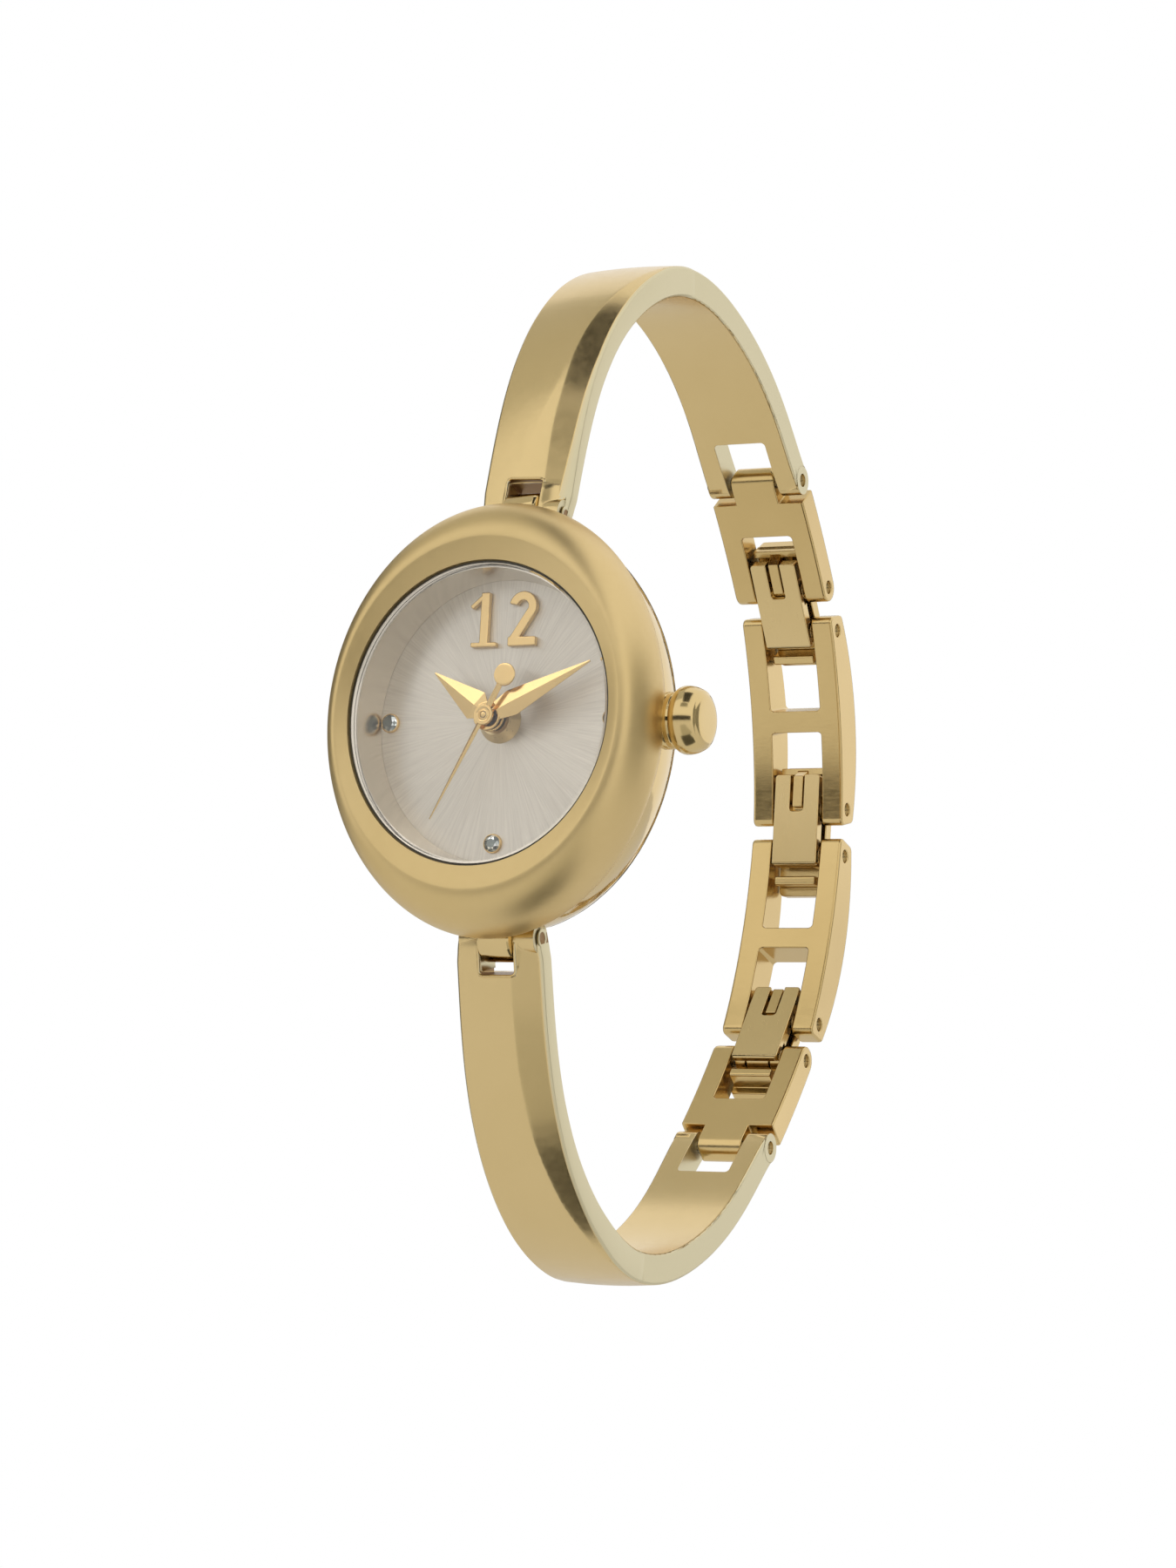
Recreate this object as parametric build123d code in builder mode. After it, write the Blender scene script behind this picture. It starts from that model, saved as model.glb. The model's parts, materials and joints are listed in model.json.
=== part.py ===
from build123d import *
import os
from math import cos, radians, sin

os.makedirs("parts", exist_ok=True)

# The watch stands on edge: twelve o'clock is +Z, the crown is +X and the dial looks along -Y.
# The origin is the middle of the wrist opening. Sizes are in millimetres, heights are measured
# from the dial towards the reader, and setbacks from the dial towards the wrist.

# Driving sizes of the case
dial_setback = 26.8
window_half_width = 9.35
window_half_height = 9.9
window_edge_height = 3.72
bezel_half_width = 11.6
bezel_half_height = 14.15
bezel_crest_rise = 0.3
bezel_equator_height = 0.5
bezel_base_height = -0.6
case_foot_height = -4.4
case_back_thickness = 1.1

# Driving sizes of the bangle
arm_front_width = 5.4
link_width = 7.16
link_thickness = 2.1
lug_pin_inset = 0.33
lug_pin_setback = 1.85
apex_height = 33.86
apex_setback = 20.3
chain_setback = 49.17
t_pitch = 8.86
connector_pitch = 3.5
h_pitch = 13.3
pin_radius = 0.45

# Tilts of the links from the vertical, in degrees
arm_front_tilt = 15.0
arm_end_tilt = 47.0
t_tilt = 40.2
connector_tilt = 35.3
h_tilt = 14.7

# Named clearances
seat_gap = 0.02
running_gap = 0.05
side_gap = 0.1
link_end_gap = 0.28
overrun = 1.5

narrow_share = window_half_width / window_half_height
lug_pin_height = bezel_half_height - lug_pin_inset
fork_share = 0.5517
fork_width = link_width * fork_share


def front(height):
    """Plane that faces the reader at a height over the dial: local x is +X and local y is +Z."""
    return Plane(origin=(0, -dial_setback - height, 0), x_dir=(1, 0, 0), z_dir=(0, -1, 0))


def oval(half_height):
    """Ellipse with the proportions of the window."""
    return Ellipse(half_height * narrow_share, half_height)


def oval_ring(height, depth, outer, inner):
    """Ring, or a plate where inner is zero, that goes down from a height."""
    with BuildPart() as ring:
        with BuildSketch(front(height)):
            oval(outer)
        extrude(amount=-depth)
        if inner:
            with BuildSketch(front(height)):
                oval(inner)
            extrude(amount=-depth, mode=Mode.SUBTRACT)
    return ring.part


def save(solid, name):
    """Label a finished piece and write it under its node name."""
    solid.label = name
    export_step(solid, f"parts/{name}.step")


# Bezel: a domed ring, wider at twelve and six than at three and nine
bezel_skirt = 0.35
bezel_crest_share = 0.36
bezel_crest_height = window_edge_height + bezel_crest_rise
bezel_dome_angles = (0, 22.5, 45, 67.5, 90)
collar_wall = 0.75
crystal_seat_height = 2.86
bezel_bore_gap = collar_wall + 3 * seat_gap


def bezel_oval(share):
    """Ellipse at a share of the way from the window to the rim of the bezel."""
    return Ellipse(
        window_half_width + share * (bezel_half_width - window_half_width),
        window_half_height + share * (bezel_half_height - window_half_height),
    )


# Crown line: the winding stem passes under the dial and through a boss on the case side
crown_height = -1.2
boss_radius = 1.78
boss_end = 12.0
boss_root = 10.0
tube_radius = 1.1
crown_line = Plane(origin=(0, -dial_setback - crown_height, 0), x_dir=(0, 0, 1), z_dir=(1, 0, 0))


def along_crown(start):
    """Plane across the crown line at a distance from the middle of the case."""
    return crown_line.offset(start)


with BuildPart() as bezel:
    for dome_angle in bezel_dome_angles:
        dome_share = bezel_crest_share + (1 - bezel_crest_share) * cos(radians(dome_angle))
        dome_rise = (bezel_crest_height - bezel_equator_height) * sin(radians(dome_angle))
        with BuildSketch(front(bezel_equator_height + dome_rise)):
            bezel_oval(dome_share)
    loft()
    with BuildSketch(front(bezel_base_height)):
        Ellipse(bezel_half_width - bezel_skirt, bezel_half_height - bezel_skirt)
    with BuildSketch(front(bezel_equator_height)):
        bezel_oval(1)
    loft()
    with BuildSketch(front(window_edge_height)):
        bezel_oval(0)
    with BuildSketch(front(bezel_crest_height)):
        bezel_oval(bezel_crest_share)
    loft(mode=Mode.SUBTRACT)
    with BuildSketch(front(bezel_base_height)):
        bezel_oval(0)
    extrude(amount=bezel_crest_height - bezel_base_height, mode=Mode.SUBTRACT)
    with BuildSketch(front(bezel_base_height)):
        oval(window_half_height + bezel_bore_gap)
    extrude(amount=crystal_seat_height - bezel_base_height, mode=Mode.SUBTRACT)
    with BuildSketch(along_crown(boss_root)):
        Circle(boss_radius + running_gap)
    extrude(amount=boss_end - boss_root, mode=Mode.SUBTRACT)
save(bezel.part, "bezel")

# Crystal: a flat glass with a small edge bevel, held by a gasket in the bezel
crystal_proud = -0.12
crystal_top = window_edge_height + crystal_proud
crystal_gasket_wall = 0.16
crystal_bevel = 0.1
crystal_half_height = window_half_height - crystal_gasket_wall - seat_gap
with BuildPart() as crystal:
    add(oval_ring(crystal_top, crystal_top - crystal_seat_height, crystal_half_height, 0))
    chamfer(crystal.faces().sort_by(Axis.Y)[0].edges(), crystal_bevel)
save(crystal.part, "crystal")

with BuildPart() as crystal_gasket:
    add(
        oval_ring(
            crystal_top - crystal_bevel,
            crystal_top - crystal_bevel - crystal_seat_height,
            window_half_height - seat_gap,
            crystal_half_height + seat_gap,
        )
    )
save(crystal_gasket.part, "crystal_gasket")

# Case middle: an oval body with a collar for the bezel, two lugs and the crown boss
case_top_inset = 0.4
case_waist_height = -3.0
case_waist_inset = 0.75
case_foot_inset = 1.25
collar_height = crystal_seat_height - 0.5 * collar_wall
cavity_half_height = window_half_height + seat_gap
lug_width = 2.2
lug_radius = link_thickness / 2
lug_bite = 1.0
pocket_gap = 0.17
pocket_floor = lug_pin_height - lug_radius - pocket_gap
lug_root = pocket_floor - lug_bite
pocket_half_width = arm_front_width / 2 + side_gap
case_levels = (
    (bezel_base_height - seat_gap, case_top_inset),
    (case_waist_height, case_waist_inset),
    (case_foot_height, case_foot_inset),
)


def arm_pin_point(sign):
    """Place of the lug pin at twelve (sign 1) or six (sign -1)."""
    return (0, lug_pin_setback - dial_setback, sign * lug_pin_height)


with BuildPart() as case_middle:
    for level, inset in case_levels:
        with BuildSketch(front(level)):
            Ellipse(bezel_half_width - inset, bezel_half_height - inset)
    loft()
    with BuildSketch(front(bezel_base_height - seat_gap)):
        oval(cavity_half_height + collar_wall)
    extrude(amount=collar_height - bezel_base_height)
    with BuildSketch(front(case_foot_height - overrun)):
        oval(cavity_half_height)
    extrude(amount=collar_height - case_foot_height + 2 * overrun, mode=Mode.SUBTRACT)
    with BuildSketch(front(bezel_base_height)):
        for sign in (1, -1):
            with Locations((0, sign * (pocket_floor + bezel_half_height / 2))):
                Rectangle(2 * pocket_half_width, bezel_half_height)
    extrude(amount=case_foot_height - bezel_base_height - overrun, mode=Mode.SUBTRACT)
    with BuildSketch(Plane.YZ):
        for sign in (1, -1):
            pin_setback, pin_height = arm_pin_point(sign)[1:]
            with Locations((pin_setback, pin_height)):
                Circle(lug_radius)
            with Locations((pin_setback, sign * (lug_root + lug_pin_height) / 2)):
                Rectangle(2 * lug_radius, lug_pin_height - lug_root)
    extrude(amount=lug_width / 2, both=True)
    with BuildSketch(along_crown(boss_root)):
        Circle(boss_radius)
    extrude(amount=boss_end - boss_root)
    with BuildSketch(front(case_foot_height - overrun)):
        oval(cavity_half_height)
    extrude(amount=collar_height - case_foot_height + 2 * overrun, mode=Mode.SUBTRACT)
    with BuildSketch(Plane.YZ):
        for sign in (1, -1):
            with Locations(arm_pin_point(sign)[1:]):
                Circle(pin_radius + running_gap)
    extrude(amount=link_width, both=True, mode=Mode.SUBTRACT)
    with BuildSketch(crown_line):
        Circle(tube_radius + seat_gap)
    extrude(amount=boss_end + overrun, mode=Mode.SUBTRACT)
save(case_middle.part, "case_middle")

# Case back: a snapped plate with an inner lip, and a gasket in the step of the lip
back_inset = 1.75
back_edge = 0.45
back_lip_depth = 0.7
back_lip_wall = 0.8
back_gasket_wall = 0.3
back_outer_height = case_foot_height - case_back_thickness
lip_top = case_foot_height + back_lip_depth
lip_half_height = cavity_half_height - seat_gap
back_step = lip_half_height - back_gasket_wall
with BuildPart() as case_back:
    with BuildSketch(front(back_outer_height)):
        Ellipse(bezel_half_width - back_inset, bezel_half_height - back_inset)
    extrude(amount=case_back_thickness - seat_gap)
    chamfer(case_back.faces().sort_by(Axis.Y)[-1].edges(), back_edge)
    add(oval_ring(lip_top, back_lip_depth + seat_gap, lip_half_height, cavity_half_height - back_lip_wall))
    add(oval_ring(lip_top, back_gasket_wall, cavity_half_height, back_step), mode=Mode.SUBTRACT)
save(case_back.part, "case_back")

with BuildPart() as case_back_gasket:
    add(oval_ring(lip_top, back_gasket_wall - seat_gap, lip_half_height, back_step + seat_gap))
save(case_back_gasket.part, "case_back_gasket")

# Dial with two feet, and the sloping ring between the dial and the crystal
dial_thickness = 0.4
dial_half_height = cavity_half_height - seat_gap
centre_hole_radius = 1.0
foot_radius = 0.35
foot_length = 0.9
foot_angle = 20
foot_reach = 7.4
ring_foot_half_height = 9.2
ring_head_half_height = 9.5
with BuildPart() as dial:
    add(oval_ring(0, dial_thickness, dial_half_height, 0))
    with BuildSketch(front(0)):
        Circle(centre_hole_radius)
    extrude(amount=-dial_thickness, mode=Mode.SUBTRACT)
    with BuildSketch(front(-dial_thickness)):
        with PolarLocations(foot_reach, 2, start_angle=foot_angle):
            Circle(foot_radius)
    extrude(amount=-foot_length)
save(dial.part, "dial")

ring_height = crystal_seat_height - 2 * seat_gap
with BuildPart() as rehaut_ring:
    add(oval_ring(ring_height, ring_height - seat_gap, window_half_height - seat_gap, 0))
    with BuildSketch(front(seat_gap)):
        oval(ring_foot_half_height)
    with BuildSketch(front(ring_height)):
        oval(ring_head_half_height)
    loft(mode=Mode.SUBTRACT)
save(rehaut_ring.part, "rehaut_ring")

# Round stones at three, six and nine in raised settings
stone_reach = 8.0
stone_radius = 0.54
stone_table_radius = 0.32
stone_girdle_height = 0.18
stone_crown_height = 0.36
stone_sides = 8
stone_angles = (180, 270, 360)
setting_wall = 0.08
setting_height = 0.2
with BuildPart() as stone_settings:
    with BuildSketch(front(0)):
        for stone_angle in stone_angles:
            with PolarLocations(stone_reach, 1, start_angle=stone_angle):
                Circle(stone_radius + seat_gap + setting_wall)
                Circle(stone_radius + seat_gap, mode=Mode.SUBTRACT)
    extrude(amount=setting_height)
save(stone_settings.part, "stone_settings")

with BuildPart() as dial_stones:
    for stone_angle in stone_angles:
        with BuildSketch(front(0)):
            with PolarLocations(stone_reach, 1, start_angle=stone_angle):
                RegularPolygon(stone_radius, stone_sides)
        extrude(amount=stone_girdle_height)
        for level, radius in ((stone_girdle_height, stone_radius), (stone_crown_height, stone_table_radius)):
            with BuildSketch(front(level)):
                with PolarLocations(stone_reach, 1, start_angle=stone_angle):
                    RegularPolygon(radius, stone_sides)
        loft()
save(dial_stones.part, "dial_stones")

# Applied twelve in two raised figures
numeral_height = 3.6
numeral_stroke = 0.62
numeral_middle = 6.6
numeral_relief = 0.45
numeral_gap = 0.75
numeral_bowl = 1.0
bow_start = 170
bow_sweep = -190
numeral_foot = numeral_middle - numeral_height / 2
numeral_top = numeral_middle + numeral_height / 2
one_axis = -numeral_gap / 2 - numeral_bowl
two_left = numeral_gap / 2
two_axis = two_left + numeral_bowl
with BuildPart() as twelve_marker:
    with BuildSketch(front(0)):
        with Locations((one_axis, numeral_middle)):
            Rectangle(numeral_stroke, numeral_height)
        with Locations((one_axis, numeral_foot + numeral_stroke / 4)):
            Rectangle(3 * numeral_stroke, numeral_stroke / 2)
        with BuildLine():
            Line(
                (one_axis, numeral_top - numeral_stroke / 4),
                (one_axis - numeral_bowl, numeral_top - numeral_bowl),
            )
        trace(line_width=numeral_stroke / 2)
        with BuildLine():
            bow_radius = numeral_bowl - numeral_stroke / 2
            bow = CenterArc((two_axis, numeral_top - numeral_bowl), bow_radius, bow_start, bow_sweep)
            Line(bow @ 1, (two_left + numeral_stroke / 2, numeral_foot + numeral_stroke / 2))
        trace(line_width=numeral_stroke)
        with Locations((two_axis, numeral_foot + numeral_stroke / 2)):
            Rectangle(2 * numeral_bowl, numeral_stroke)
    extrude(amount=numeral_relief)
save(twelve_marker.part, "twelve_marker")

# Pipes of the hands through the dial centre, with a flared bush round them
bush_height = 0.8
bush_flare = 0.45
bush_wall = 0.22
hour_pipe_radius = 0.72
minute_pipe_radius = 0.45
seconds_pin_radius = 0.2
hour_hand_height = 1.35
minute_hand_height = 1.85
seconds_hand_height = 2.3
hand_thickness = 0.16
hour_wheel_radius = 2.0
hour_wheel_thickness = 0.2
plate_thickness = 1.2
plate_top = -dial_thickness - seat_gap
plate_foot = plate_top - plate_thickness
wheel_top = -dial_thickness - side_gap
pocket_depth = hour_wheel_thickness + 2 * side_gap
bush_bore = hour_pipe_radius + side_gap


def dial_pipe(top, foot, outer, bore):
    """Upright tube on the dial axis, solid where the bore is zero."""
    with BuildPart() as pipe:
        with BuildSketch(front(foot)):
            Circle(outer)
            if bore:
                Circle(bore, mode=Mode.SUBTRACT)
        extrude(amount=top - foot)
    return pipe.part


with BuildPart() as centre_bush:
    with BuildSketch(front(seat_gap)):
        Circle(bush_bore + bush_wall + bush_flare)
    with BuildSketch(front(bush_height)):
        Circle(bush_bore + bush_wall)
    loft()
    with BuildSketch(front(0)):
        Circle(bush_bore)
    extrude(amount=bush_height, mode=Mode.SUBTRACT)
save(centre_bush.part, "centre_bush")

with BuildPart() as hour_wheel:
    hour_bore = minute_pipe_radius + running_gap
    wheel_foot = wheel_top - hour_wheel_thickness
    add(dial_pipe(hour_hand_height + hand_thickness, wheel_foot, hour_pipe_radius, hour_bore))
    add(dial_pipe(wheel_top, wheel_foot, hour_wheel_radius, hour_bore))
save(hour_wheel.part, "hour_wheel")

with BuildPart() as cannon_pinion:
    minute_bore = seconds_pin_radius + running_gap
    add(dial_pipe(minute_hand_height + hand_thickness, plate_foot, minute_pipe_radius, minute_bore))
save(cannon_pinion.part, "cannon_pinion")

with BuildPart() as seconds_arbor:
    add(dial_pipe(seconds_hand_height + hand_thickness, plate_foot, seconds_pin_radius, 0))
save(seconds_arbor.part, "seconds_arbor")

# Hands: two ridged kite hands and a needle with a round counterweight
hour_length = 5.15
hour_angle = 305.4
hour_width = 2.05
hour_shoulder = 1.35
minute_length = 7.9
minute_angle = 64.6
minute_width = 1.75
minute_shoulder = 1.9
hand_hub_radius = 0.95
hand_tip_width = 0.16
hand_ridge = 0.2
hand_root_share = 0.5
seconds_length = 7.55
seconds_angle = 207.5
seconds_width = 0.34
seconds_hub_radius = 0.68
tail_length = 2.9
tail_disc_radius = 0.75


def hand_section_plane(angle_deg, height, reach):
    """Plane across a hand at a reach from the dial axis: local y faces the reader."""
    turn = radians(angle_deg)
    origin = (reach * sin(turn), -dial_setback - height, reach * cos(turn))
    return Plane(origin=origin, x_dir=(cos(turn), 0, -sin(turn)), z_dir=(-sin(turn), 0, -cos(turn)))


def kite_hand(angle_deg, height, bore, length, width, shoulder):
    """Hand with a ridge along its middle, widest at the shoulder, and a round hub with a hole."""
    sections = (
        (0, width * hand_root_share / 2),
        (shoulder, width / 2),
        (length, hand_tip_width / 2),
    )
    with BuildPart() as hand:
        for reach, half_width in sections:
            ridge = hand_thickness / 2 + hand_ridge * half_width / width
            with BuildSketch(hand_section_plane(angle_deg, height, reach)):
                Polygon(
                    (-half_width, 0),
                    (half_width, 0),
                    (half_width, hand_thickness / 2),
                    (0, ridge),
                    (-half_width, hand_thickness / 2),
                    align=None,
                )
        loft(ruled=True)
        with BuildSketch(front(height)):
            Circle(hand_hub_radius)
        extrude(amount=hand_thickness)
        with BuildSketch(front(height)):
            Circle(bore)
        extrude(amount=hand_thickness + hand_ridge, mode=Mode.SUBTRACT)
    return hand.part


with BuildPart() as hour_hand:
    hour_seat = hour_pipe_radius + seat_gap
    add(kite_hand(hour_angle, hour_hand_height, hour_seat, hour_length, hour_width, hour_shoulder))
save(hour_hand.part, "hour_hand")

with BuildPart() as minute_hand:
    minute_seat = minute_pipe_radius + seat_gap
    minute_sizes = (minute_length, minute_width, minute_shoulder)
    add(kite_hand(minute_angle, minute_hand_height, minute_seat, *minute_sizes))
save(minute_hand.part, "minute_hand")

seconds_turn = radians(seconds_angle)
seconds_face = Plane(
    origin=(0, -dial_setback - seconds_hand_height, 0),
    x_dir=(sin(seconds_turn), 0, cos(seconds_turn)),
    z_dir=(0, -1, 0),
)
with BuildPart() as seconds_hand:
    with BuildSketch(seconds_face):
        Polygon(
            (0, -seconds_width / 2),
            (seconds_length, -hand_tip_width / 4),
            (seconds_length, hand_tip_width / 4),
            (0, seconds_width / 2),
            (-tail_length, seconds_width / 2),
            (-tail_length, -seconds_width / 2),
            align=None,
        )
        Circle(seconds_hub_radius)
        with Locations((-tail_length, 0)):
            Circle(tail_disc_radius)
        Circle(seconds_pin_radius + seat_gap, mode=Mode.SUBTRACT)
    extrude(amount=hand_thickness)
save(seconds_hand.part, "seconds_hand")

# Movement: a battery movement in a plastic holder under the dial
movement_half_width = 5.9
movement_half_height = 6.9
movement_corner = 2.6
stem_radius = 0.45
stem_channel_radius = 0.62
stem_root = 4.4
battery_radius = 3.1
battery_thickness = 1.55
battery_bevel = 0.15
battery_place = (-1.9, -3.1)
coil_radius = 0.73
coil_core_radius = 0.3
coil_length = 4.4
coil_cheek = 0.35
coil_place = (-4.6, 3.0)
bridge_thickness = 0.9
bridge_place = (1.4, 3.4)
bridge_half_width = 3.6
bridge_half_height = 3.2
bridge_corner = 1.0
board_thickness = 0.3
board_place = (3.9, -3.3)
board_half_width = 1.5
board_half_height = 2.3
clamp_thickness = 0.2
clamp_half_width = 0.8
clamp_post_radius = 0.4
under_plate = plate_foot - seat_gap


def movement_outline(extra):
    """Rounded outline of the movement, grown by a clearance."""
    return RectangleRounded(
        2 * (movement_half_width + extra), 2 * (movement_half_height + extra), movement_corner + extra
    )


def stem_channel():
    """Round channel along the crown line, from the end of the stem outwards."""
    with BuildPart() as channel:
        with BuildSketch(along_crown(stem_root - side_gap)):
            Circle(stem_channel_radius)
        extrude(amount=boss_end - stem_root)
    return channel.part


with BuildPart() as movement_holder:
    add(oval_ring(plate_top, plate_top - lip_top - seat_gap, dial_half_height, 0))
    with BuildSketch(front(plate_top)):
        movement_outline(running_gap)
        with PolarLocations(foot_reach, 2, start_angle=foot_angle):
            Circle(foot_radius + seat_gap)
    extrude(amount=case_foot_height, mode=Mode.SUBTRACT)
    add(stem_channel(), mode=Mode.SUBTRACT)
save(movement_holder.part, "movement_holder")

with BuildPart() as main_plate:
    with BuildSketch(front(plate_top)):
        movement_outline(0)
        Circle(minute_pipe_radius + running_gap, mode=Mode.SUBTRACT)
    extrude(amount=-plate_thickness)
    with BuildSketch(front(plate_top)):
        Circle(hour_wheel_radius + side_gap)
    extrude(amount=-pocket_depth, mode=Mode.SUBTRACT)
    add(stem_channel(), mode=Mode.SUBTRACT)
save(main_plate.part, "main_plate")

with BuildPart() as train_bridge:
    with BuildSketch(front(under_plate)):
        with Locations(bridge_place):
            RectangleRounded(2 * bridge_half_width, 2 * bridge_half_height, bridge_corner)
    extrude(amount=-bridge_thickness)
    add(stem_channel(), mode=Mode.SUBTRACT)
save(train_bridge.part, "train_bridge")

with BuildPart() as battery:
    with BuildSketch(front(under_plate)):
        with Locations(battery_place):
            Circle(battery_radius)
    extrude(amount=-battery_thickness)
    chamfer(battery.faces().sort_by(Axis.Y)[-1].edges(), battery_bevel)
save(battery.part, "battery")

with BuildPart() as circuit_board:
    with BuildSketch(front(under_plate)):
        with Locations(board_place):
            RectangleRounded(2 * board_half_width, 2 * board_half_height, board_thickness)
    extrude(amount=-board_thickness)
save(circuit_board.part, "circuit_board")

coil_middle = Plane(
    origin=(coil_place[0], -dial_setback - under_plate + coil_radius + seat_gap, coil_place[1]),
    x_dir=(1, 0, 0),
    z_dir=(0, 0, 1),
)
with BuildPart() as drive_coil:
    with BuildSketch(coil_middle):
        Circle(coil_radius)
        Circle(coil_core_radius + seat_gap, mode=Mode.SUBTRACT)
    extrude(amount=coil_length / 2, both=True)
save(drive_coil.part, "drive_coil")

with BuildPart() as coil_core:
    with BuildSketch(coil_middle):
        Circle(coil_core_radius)
    extrude(amount=coil_length / 2 + coil_cheek, both=True)
    for side in (1, -1):
        with BuildSketch(coil_middle.offset(side * (coil_length / 2 + seat_gap))):
            Rectangle(2 * coil_radius, 2 * coil_radius)
        extrude(amount=side * coil_cheek)
save(coil_core.part, "coil_core")

clamp_height = under_plate - battery_thickness - seat_gap
clamp_reach = board_place[0] - battery_place[0]
with BuildPart() as battery_clamp:
    with BuildSketch(front(clamp_height)):
        with Locations((battery_place[0] + clamp_reach / 2, battery_place[1])):
            RectangleRounded(clamp_reach + clamp_half_width, 2 * clamp_half_width, clamp_half_width / 2)
    extrude(amount=-clamp_thickness)
    with BuildSketch(front(clamp_height)):
        with Locations((board_place[0], battery_place[1])):
            Circle(clamp_post_radius)
    extrude(amount=battery_thickness - board_thickness)
save(battery_clamp.part, "battery_clamp")

# Crown on a sealing tube, with its gasket and the winding stem
crown_radius = 2.2
crown_root_radius = 2.0
crown_face_radius = 1.68
crown_length = 1.85
crown_dome = 0.12
crown_edge = 0.16
crown_belly_share = 0.3
crown_start = boss_end + side_gap / 2
crown_bore = 1.42
crown_bore_depth = 1.2
tube_bore = 0.6
tube_reach = 0.9
tube_root = 9.45
crown_gasket_length = 0.4
stem_grip = 0.5
bore_end = crown_start + crown_bore_depth
face_start = crown_start + crown_length
with BuildPart() as crown:
    with BuildSketch(front(crown_height)):
        with BuildLine():
            root = Line((crown_start, 0), (crown_start, crown_root_radius))
            belly = Spline(
                root @ 1,
                (crown_start + crown_belly_share * crown_length, crown_radius),
                (face_start, crown_face_radius),
            )
            edge = Line(belly @ 1, (face_start + crown_edge / 2, crown_face_radius - crown_edge))
            dome = Spline(edge @ 1, (face_start + crown_edge / 2 + crown_dome, 0), tangents=[(1, -4), (0, -1)])
            Line(dome @ 1, root @ 0)
        make_face()
    revolve(axis=Axis((0, -dial_setback - crown_height, 0), (1, 0, 0)))
    with BuildSketch(along_crown(crown_start)):
        Circle(crown_bore)
    extrude(amount=crown_bore_depth, mode=Mode.SUBTRACT)
    with BuildSketch(along_crown(bore_end)):
        Circle(stem_radius + seat_gap)
    extrude(amount=stem_grip + seat_gap, mode=Mode.SUBTRACT)
save(crown.part, "crown")

with BuildPart() as crown_gasket:
    with BuildSketch(along_crown(crown_start)):
        Circle(crown_bore - seat_gap)
        Circle(tube_radius + running_gap, mode=Mode.SUBTRACT)
    extrude(amount=crown_gasket_length)
save(crown_gasket.part, "crown_gasket")

with BuildPart() as crown_tube:
    with BuildSketch(along_crown(tube_root)):
        Circle(tube_radius)
        Circle(tube_bore, mode=Mode.SUBTRACT)
    extrude(amount=boss_end + tube_reach - tube_root)
save(crown_tube.part, "crown_tube")

with BuildPart() as winding_stem:
    with BuildSketch(along_crown(stem_root)):
        Circle(stem_radius)
    extrude(amount=bore_end + stem_grip - stem_root)
save(winding_stem.part, "winding_stem")

# Pivots of the bangle, from the closed clasp back to the case: Y and Z of each pin
shoulder_setback_share = 0.209
shoulder_height_share = 0.563
hip_setback_share = 0.62
hip_drop_share = 0.391
window_corner = 0.3


def down(tilt_deg):
    """Unit step down the chain at a tilt from the vertical."""
    tilt = radians(tilt_deg)
    return Vector(0, sin(tilt), -cos(tilt))


def below(point):
    """Mirror image of a pivot on the six o'clock side."""
    return Vector(0, point.Y, -point.Z)


def between(start, end, setback_share, height_share):
    """Point at a share of the way in setback and in height."""
    return (
        start.Y + setback_share * (end.Y - start.Y),
        start.Z + height_share * (end.Z - start.Z),
    )


h_low_pivot = Vector(0, chain_setback - dial_setback, connector_pitch / 2)
h_high_pivot = h_low_pivot - down(h_tilt) * h_pitch
t_low_pivot = h_high_pivot - down(connector_tilt) * connector_pitch
t_high_pivot = t_low_pivot - down(t_tilt) * t_pitch
lug_pivot = Vector(*arm_pin_point(1))
apex = Vector(0, apex_setback - dial_setback, apex_height)


def side_plane(point, tilt_deg):
    """Side view at a pivot: local x runs down the chain and local y outwards."""
    return Plane(origin=point, x_dir=down(tilt_deg), z_dir=(1, 0, 0))


def plan_plane(point, tilt_deg, rise):
    """Plan view at a pivot and a rise over the pin axis: local x runs down the chain."""
    return Plane(origin=point, x_dir=down(tilt_deg), z_dir=side_plane(point, tilt_deg).y_dir).offset(rise)


def block(left, right, low, high):
    """Rectangle between two x values and two y values."""
    with Locations(((left + right) / 2, (low + high) / 2)):
        Rectangle(right - left, high - low)


def window_cutter(point, tilt_deg, start, end):
    """Cutter for a window with rounded corners, between two distances down the chain."""
    with BuildPart() as window:
        with BuildSketch(plan_plane(point, tilt_deg, -2 * link_thickness)):
            with Locations(((start + end) / 2, 0)):
                RectangleRounded(end - start, fork_width, window_corner)
        extrude(amount=4 * link_thickness)
    return window.part


def pin_cutter(point, gap):
    """Cutter for a pin hole right across the chain."""
    with BuildPart() as cutter:
        with BuildSketch(Plane.YZ):
            with Locations((point.Y, point.Z)):
                Circle(pin_radius + gap)
        extrude(amount=link_width, both=True)
    return cutter.part


# Arms: a curved bar with a proud crowned band near the case, sloping flanks and a fork at its end
arm_crown = 0.12
arm_bevel = 0.45
arm_inner_bevel = 0.12
arm_slot_top = 16.0
arm_fork_depth = 4.05
band_half_shares = (0.68, 0.5, 0.48, 0.72, 0.93, 0.97, 0.97, 0.97, 0.97, 0.97, 0.97)
flank_drop_shares = (0.19, 0.19, 0.19, 0.14, 0.04, 0, 0, 0, 0, 0, 0)
bevel_shares = (1, 1, 0.92, 0.65, 0.43, 0.33, 0.3, 0.3, 0.3, 0.3, 0.3)

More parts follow.
